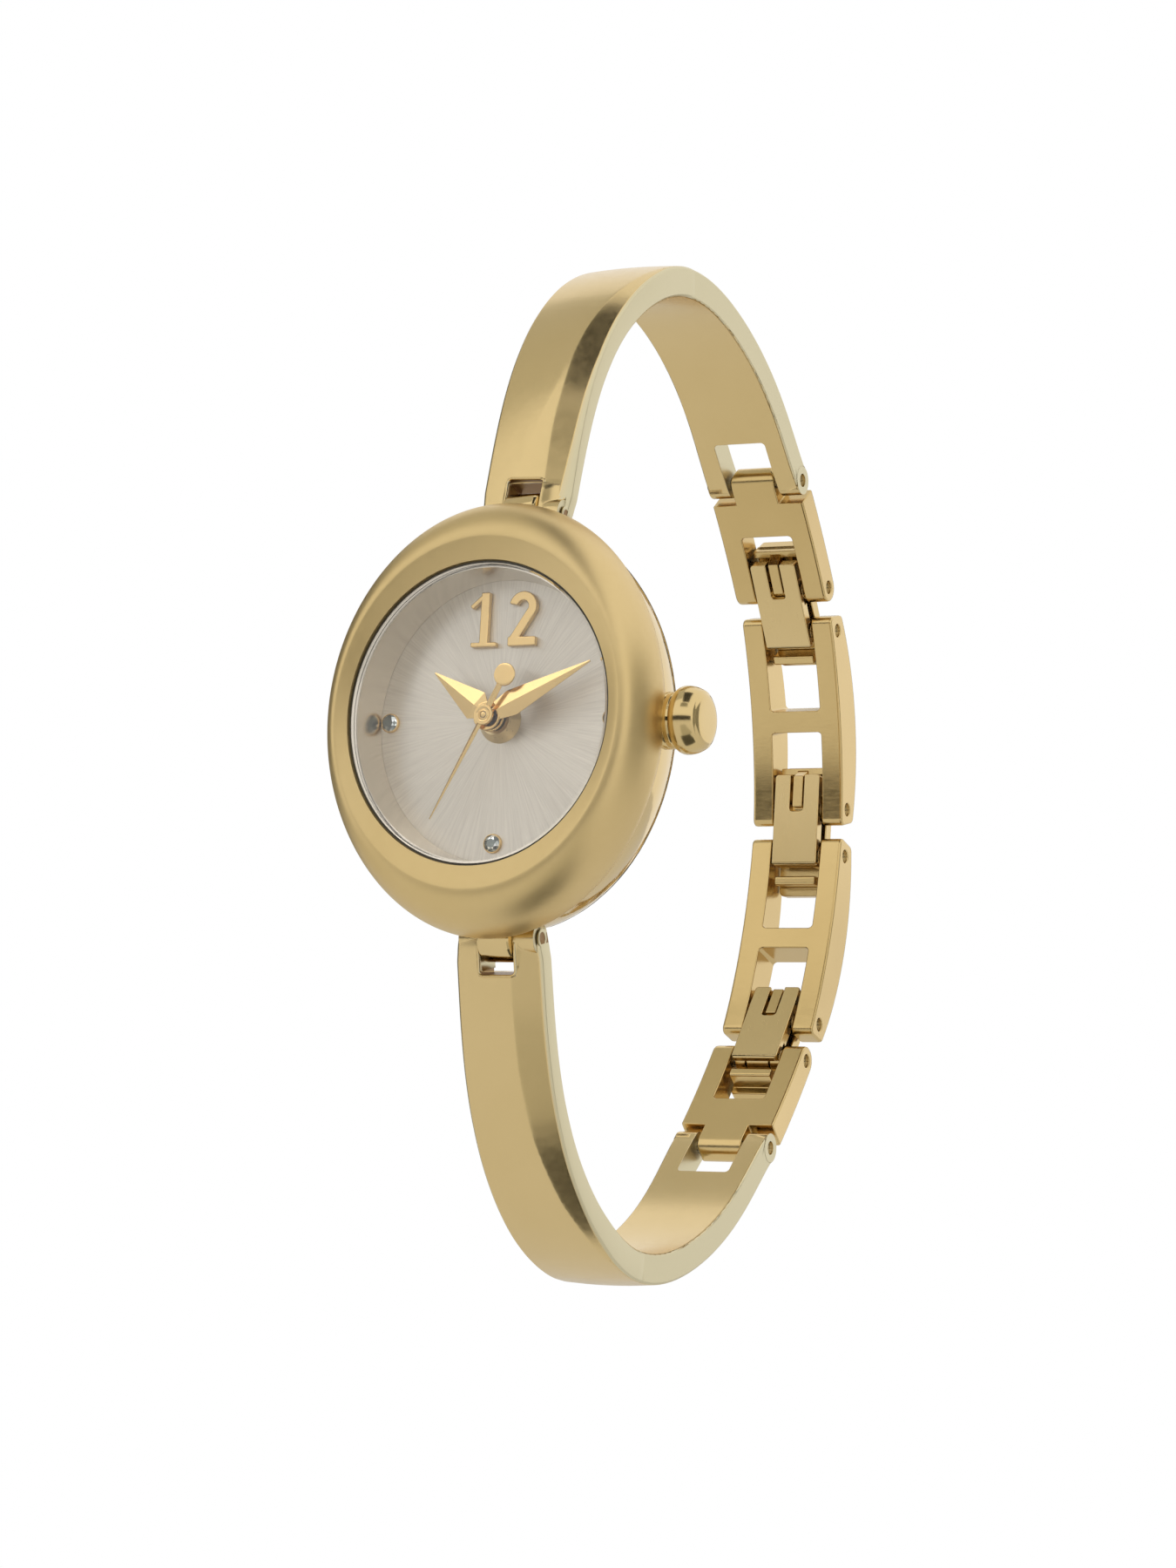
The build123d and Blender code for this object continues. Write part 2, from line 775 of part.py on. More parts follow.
with BuildLine(Plane.YZ) as arm_path:
    Spline(
        (lug_pivot.Y, lug_pivot.Z),
        between(lug_pivot, apex, shoulder_setback_share, shoulder_height_share),
        (apex.Y, apex.Z),
        between(apex, t_high_pivot, hip_setback_share, hip_drop_share),
        (t_high_pivot.Y, t_high_pivot.Z),
        tangents=[
            (sin(radians(arm_front_tilt)), cos(radians(arm_front_tilt))),
            (sin(radians(arm_end_tilt)), -cos(radians(arm_end_tilt))),
        ],
    )
arm_line = arm_path.edges()[0]


def arm_section(length_share, band_share, drop_share, bevel_share):
    """Section of the arm at a share of its length: local x is +X and local y outwards."""
    point = arm_line.position_at(length_share)
    way = (point.Y - lug_pivot.Y) / (t_high_pivot.Y - lug_pivot.Y)
    half_width = (arm_front_width + way * (link_width - arm_front_width)) / 2
    bevel = bevel_share * arm_bevel
    band = band_share * (half_width - bevel)
    top = link_thickness / 2
    shoulder = top - drop_share * link_thickness
    right_side = (
        (band, top),
        (half_width - bevel, shoulder),
        (half_width, shoulder - bevel),
        (half_width, arm_inner_bevel - top),
        (half_width - arm_inner_bevel, -top),
    )
    left_side = tuple((-x, y) for x, y in reversed(right_side))
    tangent = arm_line.tangent_at(length_share)
    with BuildSketch(Plane(origin=point, x_dir=(1, 0, 0), z_dir=-tangent)) as section:
        with BuildLine():
            sides = Polyline(*right_side, *left_side)
            ThreePointArc(sides @ 1, (0, top + arm_crown), sides @ 0)
        make_face()
    return section.sketch


with BuildPart() as upper_arm:
    for station, shares in enumerate(zip(band_half_shares, flank_drop_shares, bevel_shares)):
        add(arm_section(station / (len(bevel_shares) - 1), *shares))
    loft()
    for pivot, width in ((lug_pivot, arm_front_width), (t_high_pivot, link_width)):
        with BuildSketch(Plane.YZ):
            with Locations((pivot.Y, pivot.Z)):
                Circle(link_thickness / 2)
        extrude(amount=width / 2, both=True)
    with BuildSketch(Plane.XY):
        with Locations((0, lug_pivot.Y)):
            Rectangle(lug_width + 2 * side_gap, 4 * link_thickness)
    extrude(amount=arm_slot_top, mode=Mode.SUBTRACT)
    add(window_cutter(t_high_pivot, arm_end_tilt, -arm_fork_depth, link_thickness), mode=Mode.SUBTRACT)
    add(pin_cutter(lug_pivot, seat_gap), mode=Mode.SUBTRACT)
    add(pin_cutter(t_high_pivot, seat_gap), mode=Mode.SUBTRACT)
save(upper_arm.part, "upper_arm")

with BuildPart() as lower_arm:
    mirror(upper_arm.part, about=Plane.XY)
save(lower_arm.part, "lower_arm")

# Tongued links behind the arms: a full width bar with a narrow top and a forked foot
link_edge = 0.1
tongue_gap = 0.275
tongue_half_width = fork_width / 2 - tongue_gap
tongue_corner = 0.5
t_fork_depth = 4.8
t_bow = 0.15
tongue_reach = link_thickness / 2 + link_end_gap
with BuildPart() as upper_t_link:
    with BuildSketch(side_plane(t_high_pivot, t_tilt)):
        with BuildLine():
            ThreePointArc((0, 0), (t_pitch / 2, t_bow), (t_pitch, 0))
        trace(line_width=link_thickness)
        with Locations((0, 0), (t_pitch, 0)):
            Circle(link_thickness / 2)
    extrude(amount=link_width / 2, both=True)
    side_faces = upper_t_link.faces().sort_by(Axis.X)
    chamfer(side_faces[0].edges() + side_faces[-1].edges(), link_edge)
    with BuildSketch(plan_plane(t_high_pivot, t_tilt, -link_thickness)):
        block(-link_thickness, tongue_reach, -link_width, link_width)
        with Locations((t_pitch / 2 - link_thickness / 2, 0)):
            RectangleRounded(t_pitch, 2 * tongue_half_width, tongue_corner, mode=Mode.SUBTRACT)
    extrude(amount=2 * link_thickness, mode=Mode.SUBTRACT)
    fork_end = t_pitch + link_thickness
    add(window_cutter(t_high_pivot, t_tilt, t_pitch - t_fork_depth, fork_end), mode=Mode.SUBTRACT)
    add(pin_cutter(t_high_pivot, running_gap), mode=Mode.SUBTRACT)
    add(pin_cutter(t_low_pivot, seat_gap), mode=Mode.SUBTRACT)
save(upper_t_link.part, "upper_t_link")

with BuildPart() as lower_t_link:
    mirror(upper_t_link.part, about=Plane.XY)
save(lower_t_link.part, "lower_t_link")

# Long links of the back chain: two rails and a crossbar, thickest in the middle and bowed outwards
h_inner_half = 1.3
h_inner_bow = 0.8
h_outer_half = 0.95
h_outer_bow = 1.6
h_end_reach = 1.1
h_end_corner = 0.5
crossbar_length = 1.6
with BuildPart() as upper_h_link:
    with BuildSketch(side_plane(h_high_pivot, h_tilt)) as rail:
        with BuildLine():
            inner_side = ThreePointArc(
                (-h_end_reach, -h_inner_half),
                (h_pitch / 2, h_inner_bow - h_inner_half),
                (h_pitch + h_end_reach, -h_inner_half),
            )
            outer_side = ThreePointArc(
                (-h_end_reach, h_outer_half),
                (h_pitch / 2, h_outer_half + h_outer_bow),
                (h_pitch + h_end_reach, h_outer_half),
            )
            Line(inner_side @ 0, outer_side @ 0)
            Line(inner_side @ 1, outer_side @ 1)
        make_face()
        fillet(rail.vertices(), h_end_corner)
    extrude(amount=link_width / 2, both=True)
    side_faces = upper_h_link.faces().sort_by(Axis.X)
    chamfer(side_faces[0].edges() + side_faces[-1].edges(), link_edge)
    rail_end = h_pitch + link_thickness
    bar_start = (h_pitch - crossbar_length) / 2
    add(window_cutter(h_high_pivot, h_tilt, -link_thickness, bar_start), mode=Mode.SUBTRACT)
    add(window_cutter(h_high_pivot, h_tilt, bar_start + crossbar_length, rail_end), mode=Mode.SUBTRACT)
    add(pin_cutter(h_high_pivot, seat_gap), mode=Mode.SUBTRACT)
    add(pin_cutter(h_low_pivot, seat_gap), mode=Mode.SUBTRACT)
save(upper_h_link.part, "upper_h_link")

with BuildPart() as lower_h_link:
    mirror(upper_h_link.part, about=Plane.XY)
save(lower_h_link.part, "lower_h_link")

# Connectors: a plate with a hook finger at its head, and knuckles and a block at its foot
connector_side_gap = 0.2
connector_width = fork_width - 2 * connector_side_gap
head_reach = 3.26
plate_foot_reach = 2.9
head_bar_length = 0.66
head_bar_low = -0.25
plate_low = 0.35
connector_top = 1.45
connector_corner = 0.4
connector_edge = 0.12
knuckle_radius = 0.8
knuckle_width = 0.8
finger_width = 0.8
finger_low = -1.2
finger_mouth = -0.85
finger_heel = -2.4
finger_throat = -1.6
finger_tip = -0.1
foot_block_start = 1.55
foot_block_end = 2.25
foot_block_low = -1.0
foot_block_inset = 0.175
foot_block_width = connector_width - 2 * foot_block_inset
lever_thickness = 0.53
lever_low = -1.35
lever_head = -2.5
lever_lip = 0.8
lever_lip_bevel = 0.15
lever_rib = 0.37
lever_rib_reach = 0.95
lever_corner = 0.25
lever_slot_width = 1.1
lever_slot_end = 0.25
lever_slot_reach = 4.0
lever_web = 0.4
lever_knuckle_width = connector_width - 2 * knuckle_width - 2 * side_gap


def connector_body(point, tilt_deg, top_gap):
    """Connector that hangs from a pivot: plate, hook finger, knuckles and foot block."""
    side = side_plane(point, tilt_deg)
    foot = connector_pitch + plate_foot_reach
    with BuildPart() as body:
        with BuildSketch(plan_plane(point, tilt_deg, plate_low)):
            with Locations(((foot - head_reach) / 2, 0)):
                RectangleRounded(foot + head_reach, connector_width, connector_corner)
        extrude(amount=connector_top - plate_low)
        top_face = body.faces().sort_by(Axis(side.origin, side.y_dir))[-1]
        chamfer(top_face.edges(), connector_edge)
        with BuildSketch(side):
            block(
                -head_reach + connector_edge,
                -head_reach + head_bar_length,
                head_bar_low,
                connector_top / 2,
            )
            with Locations((0, 0), (connector_pitch, 0)):
                Circle(knuckle_radius)
        extrude(amount=connector_width / 2, both=True)
        with BuildSketch(side):
            Polygon(
                (connector_pitch + foot_block_start, connector_top / 2),
                (connector_pitch + foot_block_start, foot_block_low + connector_edge),
                (connector_pitch + foot_block_start + connector_edge, foot_block_low),
                (connector_pitch + foot_block_end - connector_edge, foot_block_low),
                (connector_pitch + foot_block_end, foot_block_low + connector_edge),
                (connector_pitch + foot_block_end, connector_top / 2),
                align=None,
            )
        extrude(amount=foot_block_width / 2, both=True)
        with BuildSketch(side):
            Polygon(
                (-head_reach + connector_edge, connector_top / 2),
                (-head_reach + connector_edge, connector_edge),
                (finger_heel, finger_low),
                (finger_tip, finger_low),
                (finger_tip, finger_mouth),
                (finger_throat, finger_mouth),
                (finger_throat - connector_corner, connector_top / 2),
                align=None,
            )
        extrude(amount=finger_width / 2, both=True)
        with BuildSketch(side):
            with Locations((connector_pitch, 0)):
                Circle(knuckle_radius + running_gap)
        extrude(amount=lever_knuckle_width / 2 + side_gap, both=True, mode=Mode.SUBTRACT)
        add(pin_cutter(point, top_gap), mode=Mode.SUBTRACT)
        add(pin_cutter(point + down(tilt_deg) * connector_pitch, running_gap), mode=Mode.SUBTRACT)
    return body.part


def connector_lever(point, tilt_deg):
    """Flat lever under a connector, hinged on its foot pin, with ribs and a slot for the finger."""
    side = side_plane(point, tilt_deg)
    lever_foot = connector_pitch + lever_lip
    lever_back = lever_low + lever_thickness
    rib_end = connector_pitch - lever_rib_reach
    with BuildPart() as lever:
        with BuildSketch(side):
            block(lever_head, lever_foot, lever_low, lever_back)
            block(lever_head, -lever_rib_reach, lever_low, lever_back + lever_rib)
            block(lever_rib_reach, rib_end, lever_low, lever_back + lever_rib)
        extrude(amount=connector_width / 2, both=True)
        with BuildSketch(plan_plane(point, tilt_deg, lever_low)):
            with Locations(((lever_foot + lever_head) / 2, 0)):
                RectangleRounded(lever_foot - lever_head, connector_width, lever_corner)
        extrude(amount=lever_thickness + lever_rib, mode=Mode.INTERSECT)
        with BuildSketch(side):
            Polygon(
                (lever_foot - lever_lip_bevel, lever_low),
                (lever_foot, lever_low),
                (lever_foot, lever_low + lever_lip_bevel),
                align=None,
            )
        extrude(amount=connector_width / 2, both=True, mode=Mode.SUBTRACT)
        with BuildSketch(side):
            with Locations((connector_pitch, 0)):
                Circle(knuckle_radius)
            block(connector_pitch - lever_web, connector_pitch + lever_web, lever_low + lever_thickness / 2, 0)
        extrude(amount=lever_knuckle_width / 2, both=True)
        with BuildSketch(plan_plane(point, tilt_deg, lever_low)):
            with Locations((lever_slot_end - lever_slot_reach, 0)):
                RectangleRounded(2 * lever_slot_reach, lever_slot_width, lever_slot_width / 4)
        extrude(amount=lever_thickness + lever_rib, mode=Mode.SUBTRACT)
        add(pin_cutter(point + down(tilt_deg) * connector_pitch, running_gap), mode=Mode.SUBTRACT)
    return lever.part


def chain_pin(point, half_length):
    """Pin across the chain at a pivot."""
    with BuildPart() as pin:
        with BuildSketch(Plane.YZ):
            with Locations((point.Y, point.Z)):
                Circle(pin_radius)
        extrude(amount=half_length, both=True)
    return pin.part


clasp_point = below(h_high_pivot)
middle_point = h_low_pivot
with BuildPart() as upper_connector:
    add(connector_body(t_low_pivot, connector_tilt, running_gap))
save(upper_connector.part, "upper_connector")
with BuildPart() as upper_lever:
    add(connector_lever(t_low_pivot, connector_tilt))
save(upper_lever.part, "upper_lever")

with BuildPart() as middle_connector:
    add(connector_body(middle_point, 0, running_gap))
save(middle_connector.part, "middle_connector")
with BuildPart() as middle_lever:
    add(connector_lever(middle_point, 0))
save(middle_lever.part, "middle_lever")

with BuildPart() as clasp_connector:
    add(connector_body(clasp_point, -connector_tilt, seat_gap))
save(clasp_connector.part, "clasp_connector")
with BuildPart() as clasp_lever:
    add(connector_lever(clasp_point, -connector_tilt))
save(clasp_lever.part, "clasp_lever")

# Hinge pins, a little shorter than the width of the links that hold them
pin_recess = 0.3
plug_length = (link_width - fork_width) / 2 - pin_recess - side_gap
lug_pin_half = arm_front_width / 2 - pin_recess
chain_pin_half = link_width / 2 - pin_recess
clasp_pin_half = fork_width / 2 - side_gap
with BuildPart() as upper_lug_pin:
    add(chain_pin(lug_pivot, lug_pin_half))
save(upper_lug_pin.part, "upper_lug_pin")
with BuildPart() as lower_lug_pin:
    add(chain_pin(below(lug_pivot), lug_pin_half))
save(lower_lug_pin.part, "lower_lug_pin")
with BuildPart() as upper_arm_pin:
    add(chain_pin(t_high_pivot, chain_pin_half))
save(upper_arm_pin.part, "upper_arm_pin")
with BuildPart() as lower_arm_pin:
    add(chain_pin(below(t_high_pivot), chain_pin_half))
save(lower_arm_pin.part, "lower_arm_pin")
with BuildPart() as upper_t_pin:
    add(chain_pin(t_low_pivot, chain_pin_half))
save(upper_t_pin.part, "upper_t_pin")
with BuildPart() as lower_t_pin:
    add(chain_pin(below(t_low_pivot), chain_pin_half))
save(lower_t_pin.part, "lower_t_pin")
with BuildPart() as upper_h_pins:
    add(chain_pin(h_high_pivot, chain_pin_half))
    add(chain_pin(h_low_pivot, chain_pin_half))
save(upper_h_pins.part, "upper_h_pins")
with BuildPart() as lower_h_pin:
    add(chain_pin(below(h_low_pivot), chain_pin_half))
save(lower_h_pin.part, "lower_h_pin")
with BuildPart() as clasp_pin:
    add(chain_pin(clasp_point, clasp_pin_half))
save(clasp_pin.part, "clasp_pin")
with BuildPart() as clasp_plugs:
    for side in (1, -1):
        plug_start = (side * (fork_width / 2 + side_gap), clasp_point.Y, clasp_point.Z)
        with BuildSketch(Plane(origin=plug_start, z_dir=(1, 0, 0))):
            Circle(pin_radius)
        extrude(amount=side * plug_length)
save(clasp_plugs.part, "clasp_plugs")
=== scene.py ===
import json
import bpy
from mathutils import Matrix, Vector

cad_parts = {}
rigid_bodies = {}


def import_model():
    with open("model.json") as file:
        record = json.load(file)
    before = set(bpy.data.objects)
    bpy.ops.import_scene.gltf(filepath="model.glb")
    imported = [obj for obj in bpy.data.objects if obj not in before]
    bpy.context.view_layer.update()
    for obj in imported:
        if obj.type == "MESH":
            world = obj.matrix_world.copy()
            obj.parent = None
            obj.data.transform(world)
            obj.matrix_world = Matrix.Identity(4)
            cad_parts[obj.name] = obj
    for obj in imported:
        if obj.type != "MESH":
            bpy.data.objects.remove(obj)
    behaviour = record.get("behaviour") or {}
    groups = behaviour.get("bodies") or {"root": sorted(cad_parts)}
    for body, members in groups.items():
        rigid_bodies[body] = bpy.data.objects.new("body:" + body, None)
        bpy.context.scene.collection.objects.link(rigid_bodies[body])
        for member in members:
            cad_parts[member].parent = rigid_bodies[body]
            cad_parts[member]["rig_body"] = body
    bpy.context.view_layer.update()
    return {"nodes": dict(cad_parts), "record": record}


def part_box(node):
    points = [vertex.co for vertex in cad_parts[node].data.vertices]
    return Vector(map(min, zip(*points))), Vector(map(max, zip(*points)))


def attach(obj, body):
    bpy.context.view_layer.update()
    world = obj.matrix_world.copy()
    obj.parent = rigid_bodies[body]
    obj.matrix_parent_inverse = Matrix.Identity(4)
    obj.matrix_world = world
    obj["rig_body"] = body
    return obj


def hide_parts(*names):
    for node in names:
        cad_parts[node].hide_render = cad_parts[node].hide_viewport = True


bl_info = {
    "name": "Bangle Watch",
    "version": (1, 0, 0),
    "blender": (4, 5, 0),
    "location": "3D View > Sidebar > Watch",
    "description": "Dresses a bangle watch with gold, dial, stones and glass, and sets up a stage",
    "category": "Add Mesh",
}

import bmesh
import bpy
import numpy as np
from mathutils import Matrix, Vector
from mathutils.bvhtree import BVHTree

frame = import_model()

MM = 0.001
DIAL_Y = -26.8  # the dial's face on the y axis, in millimetres
CROWN_HEIGHT = -1.2  # the crown's axis over the dial's face: it lies behind it
FINISHES = {}


# ---------------- meshes


def link_object(name, data):
    """Put a new object with its data into the scene."""
    new = bpy.data.objects.new(name, data)
    bpy.context.scene.collection.objects.link(new)
    return new


def shade_smooth(mesh, angle):
    """Shade smooth, but sharp where faces meet at more than an angle in degrees."""
    mesh.update()
    mesh.polygons.foreach_set("use_smooth", np.ones(len(mesh.polygons), bool))
    mesh.set_sharp_from_angle(angle=np.radians(angle))


def mesh_piece(name, shell, body, finish, smooth_angle, node=None):
    """Make a piece from a shell in millimetres: it rides on a body and has a finish, and may hide a
    node that it stands in for."""
    verts, faces = shell
    mesh = bpy.data.meshes.new(name)
    mesh.from_pydata((verts * MM).tolist(), [], faces)
    shade_smooth(mesh, smooth_angle)
    mesh.materials.append(FINISHES[finish])
    piece = link_object(name, mesh)
    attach(piece, body)
    if node:
        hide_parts(node)
    return piece


def columns(*parts):
    """Rows of points or faces, each part spread to the same length and put in a column."""
    return np.stack(np.broadcast_arrays(*parts), -1)


def full_turn(count):
    """Angles in equal steps round a full turn."""
    return np.linspace(0, 2 * np.pi, count, endpoint=False)


def grid_faces(rows, cols, close_rows=False):
    """Quads between the points of a grid whose every row is a closed ring; the last row may also be
    joined to the first."""
    row, col = np.arange(rows if close_rows else rows - 1)[:, None], np.arange(cols)
    here, after, turn = row * cols, (row + 1) % rows * cols, (col + 1) % cols
    quads = columns(here + col, here + turn, after + turn, after + col)
    return quads.reshape(-1, 4).tolist()


def outward(verts, faces):
    """Closed shell with every face turned round if its signed volume, the sum of a.(b x c)/6, is
    negative."""
    volume = 0.0
    for sides in {len(f) for f in faces}:
        group = verts[np.array([f for f in faces if len(f) == sides], int)]
        volume += (group[:, :1] * np.cross(group[:, 1:-1], group[:, 2:])).sum()
    return verts, (faces if volume > 0 else [f[::-1] for f in faces])


def ring_shell(points, join_ends=False):
    """Closed shell from rings of points: its last ring is joined to the first, or a many-sided face
    closes each end."""
    rows, cols = points.shape[:2]
    faces = grid_faces(rows, cols, join_ends)
    if not join_ends:
        last = (rows - 1) * cols
        faces += [list(range(cols))[::-1], list(range(last, last + cols))]
    return outward(points.reshape(-1, 3), faces)


def join_shells(*shells):
    """Put several shells of points and faces into one."""
    verts, faces, start = [], [], 0
    for points, rows in shells:
        verts.append(points)
        faces += [[i + start for i in row] for row in rows]
        start += len(points)
    return np.concatenate(verts), faces


def dial_point(x, z, height):
    """Stack x, z and a height over the dial into points in the watch's frame."""
    return columns(x, DIAL_Y - height, z)


def turned_shell(profile, origin, axis, segments=64):
    """Solid of revolution: a profile of (way along the axis, radius) turned round an axis of length
    one that is square to z; zero radii are poles, and without them the profile closes on itself."""
    axis, origin = np.array(axis, float), np.array(origin)
    side = np.cross(axis, (0, 0, 1))
    other = np.cross(axis, side)
    profile = np.array(profile, float)
    rim = profile[profile[:, 1] > 0]
    turn = full_turn(segments)[None, :, None]
    ring = np.cos(turn) * side + np.sin(turn) * other
    verts = (origin + rim[:, :1, None] * axis + rim[:, 1:, None] * ring).reshape(-1, 3)
    has_poles = len(rim) < len(profile)
    faces = grid_faces(len(rim), segments, close_rows=not has_poles)
    if has_poles:
        first, last, foot = len(verts), len(verts) + 1, len(verts) - segments
        verts = np.concatenate([verts, origin + profile[[0, -1], :1] * axis])
        k = np.arange(segments)
        n = (k + 1) % segments
        faces += columns(first, n, k).tolist() + columns(last, foot + k, foot + n).tolist()
    return outward(verts, faces)


def rounded_copy(node, name, width, slot, finish=None):
    """Merged copy of a carried-over node whose sharp edges are rolled over by a width in
    millimetres; a rolled point that ends up off the sharp form by more than half the width goes
    back to the nearest point of that form."""
    weld_distance, flat_angle, sharp_angle = 0.5e-6, 0.3, 30.0
    mesh = frame["nodes"][node].data.copy()
    mesh.name = name
    form = bmesh.new()
    form.from_mesh(mesh)
    bmesh.ops.remove_doubles(form, verts=form.verts, dist=weld_distance)
    bmesh.ops.dissolve_limit(
        form, angle_limit=np.radians(flat_angle), verts=form.verts, edges=form.edges
    )
    form.to_mesh(mesh)
    form.free()
    for layer in ("custom_normal", "sharp_edge", "sharp_face"):
        if layer in mesh.attributes:
            mesh.attributes.remove(mesh.attributes[layer])
    shade_smooth(mesh, sharp_angle)
    piece = link_object(name, mesh)
    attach(piece, frame["nodes"][node]["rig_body"])
    bevel = piece.modifiers.new("edge roll", "BEVEL")
    bevel.width = width * MM
    bevel.segments = 2
    bevel.limit_method = "ANGLE"
    bevel.angle_limit = np.radians(sharp_angle)
    bevel.use_clamp_overlap = False
    bevel.harden_normals = True
    depsgraph = bpy.context.evaluated_depsgraph_get()
    rolled = bpy.data.meshes.new_from_object(piece.evaluated_get(depsgraph))
    rolled.name = name
    stray = 0.5 * width * MM
    faces = [tuple(f.vertices) for f in mesh.polygons]
    sharp = BVHTree.FromPolygons([v.co for v in mesh.vertices], faces)
    for vertex in rolled.vertices:
        place, _, _, distance = sharp.find_nearest(vertex.co)
        if distance > stray:
            vertex.co = place
    piece.modifiers.clear()
    piece.data = rolled
    bpy.data.meshes.remove(mesh)
    rolled.materials.clear()
    rolled.materials.append(FINISHES[finish or slot])
    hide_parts(node)
    return piece


# ---------------- finishes


BUMP_DEPTH = 0.00002  # metres


def new_material(name):
    """Start a node material and return it with its tree and its shader."""
    material = bpy.data.materials.new(name)
    material.use_nodes = True
    return material, material.node_tree, material.node_tree.nodes["Principled BSDF"]


def feed(tree, node, inputs):
    """Feed a node's inputs, by name or number, from another node's output or with plain values."""
    for key, value in inputs.items():
        if isinstance(value, bpy.types.NodeSocket):
            tree.links.new(value, node.inputs[key])
        else:
            node.inputs[key].default_value = value
    return node


def add(tree, kind, inputs=None, **properties):
    """Add a node, set its properties and feed its inputs."""
    node = tree.nodes.new(kind)
    for key, value in properties.items():
        setattr(node, key, value)
    return feed(tree, node, inputs or {})


def object_mapping(tree, scale=(1, 1, 1)):
    """Object coordinates through a mapping that stretches the pattern."""
    coord = add(tree, "ShaderNodeTexCoord").outputs["Object"]
    mapping = add(tree, "ShaderNodeMapping", {"Vector": coord, "Scale": scale})
    return mapping.outputs["Vector"]


def noise(tree, vector, scale, detail, roughness=0.55):
    """Noise texture on a vector."""
    inputs = {"Vector": vector, "Scale": scale, "Detail": detail, "Roughness": roughness}
    return add(tree, "ShaderNodeTexNoise", inputs).outputs["Fac"]


def remap(tree, value, low, high, from_low=0.3, from_high=0.7):
    """Map a value's range to another."""
    inputs = {
        "Value": value, "From Min": from_low, "From Max": from_high, "To Min": low, "To Max": high
    }
    return add(tree, "ShaderNodeMapRange", inputs).outputs["Result"]


def ramp(tree, value, *stops):
    """Colour ramp with stops of place and colour."""
    node = add(tree, "ShaderNodeValToRGB", {"Fac": value})
    while len(node.color_ramp.elements) < len(stops):
        node.color_ramp.elements.new(0.5)
    for element, (place, colour) in zip(node.color_ramp.elements, stops):
        element.position = place
        element.color = (*colour, 1)
    return node.outputs["Color"]


def bump(tree, value, strength):
    """Bump from a height value."""
    inputs = {"Height": value, "Strength": strength, "Distance": BUMP_DEPTH}
    return add(tree, "ShaderNodeBump", inputs).outputs["Normal"]


def metal(name, light, dark, rough_low, rough_high, grain, grain_bump):
    """Metal whose colour drifts softly between two tones, with a fine grain in roughness and
    bump."""
    material, tree, shader = new_material(name)
    cloud = noise(tree, object_mapping(tree), scale=60.0, detail=3.0)
    fine = noise(tree, object_mapping(tree, grain), scale=6.0, detail=5.0, roughness=0.65)
    feed(tree, shader, {
        "Metallic": 1.0,
        "Base Color": ramp(tree, cloud, (0.3, dark), (0.7, light)),
        "Roughness": remap(tree, fine, rough_low, rough_high),
        "Normal": bump(tree, fine, grain_bump),
    })
    return material


def ground_sides(material, pale, rough, start, end):
    """Give faces that look along the width a paler, duller ground finish: the share of it goes with
    the normal's x from a start to an end."""
    tree = material.node_tree
    shader = tree.nodes["Principled BSDF"]
    normal = add(tree, "ShaderNodeTexCoord").outputs["Normal"]
    split = add(tree, "ShaderNodeSeparateXYZ", {"Vector": normal})
    size = add(tree, "ShaderNodeMath", {0: split.outputs["X"]}, operation="ABSOLUTE")
    share = remap(tree, size.outputs["Value"], 0.0, 1.0, start, end)
    for key, kind, first, value, result in (
        ("Base Color", "RGBA", 6, (*pale, 1), 2), ("Roughness", "FLOAT", 2, rough, 0)
    ):
        plain = shader.inputs[key].links[0].from_socket
        inputs = {0: share, first: plain, first + 1: value}
        mix = add(tree, "ShaderNodeMix", inputs, data_type=kind)
        feed(tree, shader, {key: mix.outputs[result]})


def sunray(name, light, dark):
    """Dial finish: fine rays run out from the centre, across which the shine spreads, so the UV map
    holds the turns."""
    material, tree, shader = new_material(name)
    turns = add(tree, "ShaderNodeUVMap", uv_map="turns").outputs["UV"]
    stretch = add(tree, "ShaderNodeMapping", {"Vector": turns, "Scale": (320.0, 2.0, 1.0)})
    rays = noise(tree, stretch.outputs["Vector"], scale=1.0, detail=6.0, roughness=0.7)
    tangent = add(tree, "ShaderNodeTangent", direction_type="UV_MAP", uv_map="turns")
    feed(tree, shader, {
        "Metallic": 0.85,
        "Anisotropic": 0.85,
        "Tangent": tangent.outputs["Tangent"],
        "Base Color": ramp(tree, rays, (0.30, dark), (0.68, light)),
        "Roughness": remap(tree, rays, 0.34, 0.44),
        "Normal": bump(tree, rays, 0.25),
    })
    return material


def clear_glass(name):
    """Clear glass with faint smudges that lets shadow rays straight through."""
    material, tree, shader = new_material(name)
    smudge = noise(tree, object_mapping(tree), scale=220.0, detail=4.0)
    feed(tree, shader, {
        "Base Color": (1, 1, 1, 1),
        "Transmission Weight": 1.0,
        "IOR": 1.45,
        "Roughness": remap(tree, smudge, 0.0, 0.02),
    })
    shadow = add(tree, "ShaderNodeLightPath").outputs["Is Shadow Ray"]
    through = add(tree, "ShaderNodeBsdfTransparent").outputs["BSDF"]
    inputs = {"Fac": shadow, 1: shader.outputs["BSDF"], 2: through}
    mix = add(tree, "ShaderNodeMixShader", inputs)
    feed(tree, tree.nodes["Material Output"], {"Surface": mix.outputs["Shader"]})
    return material


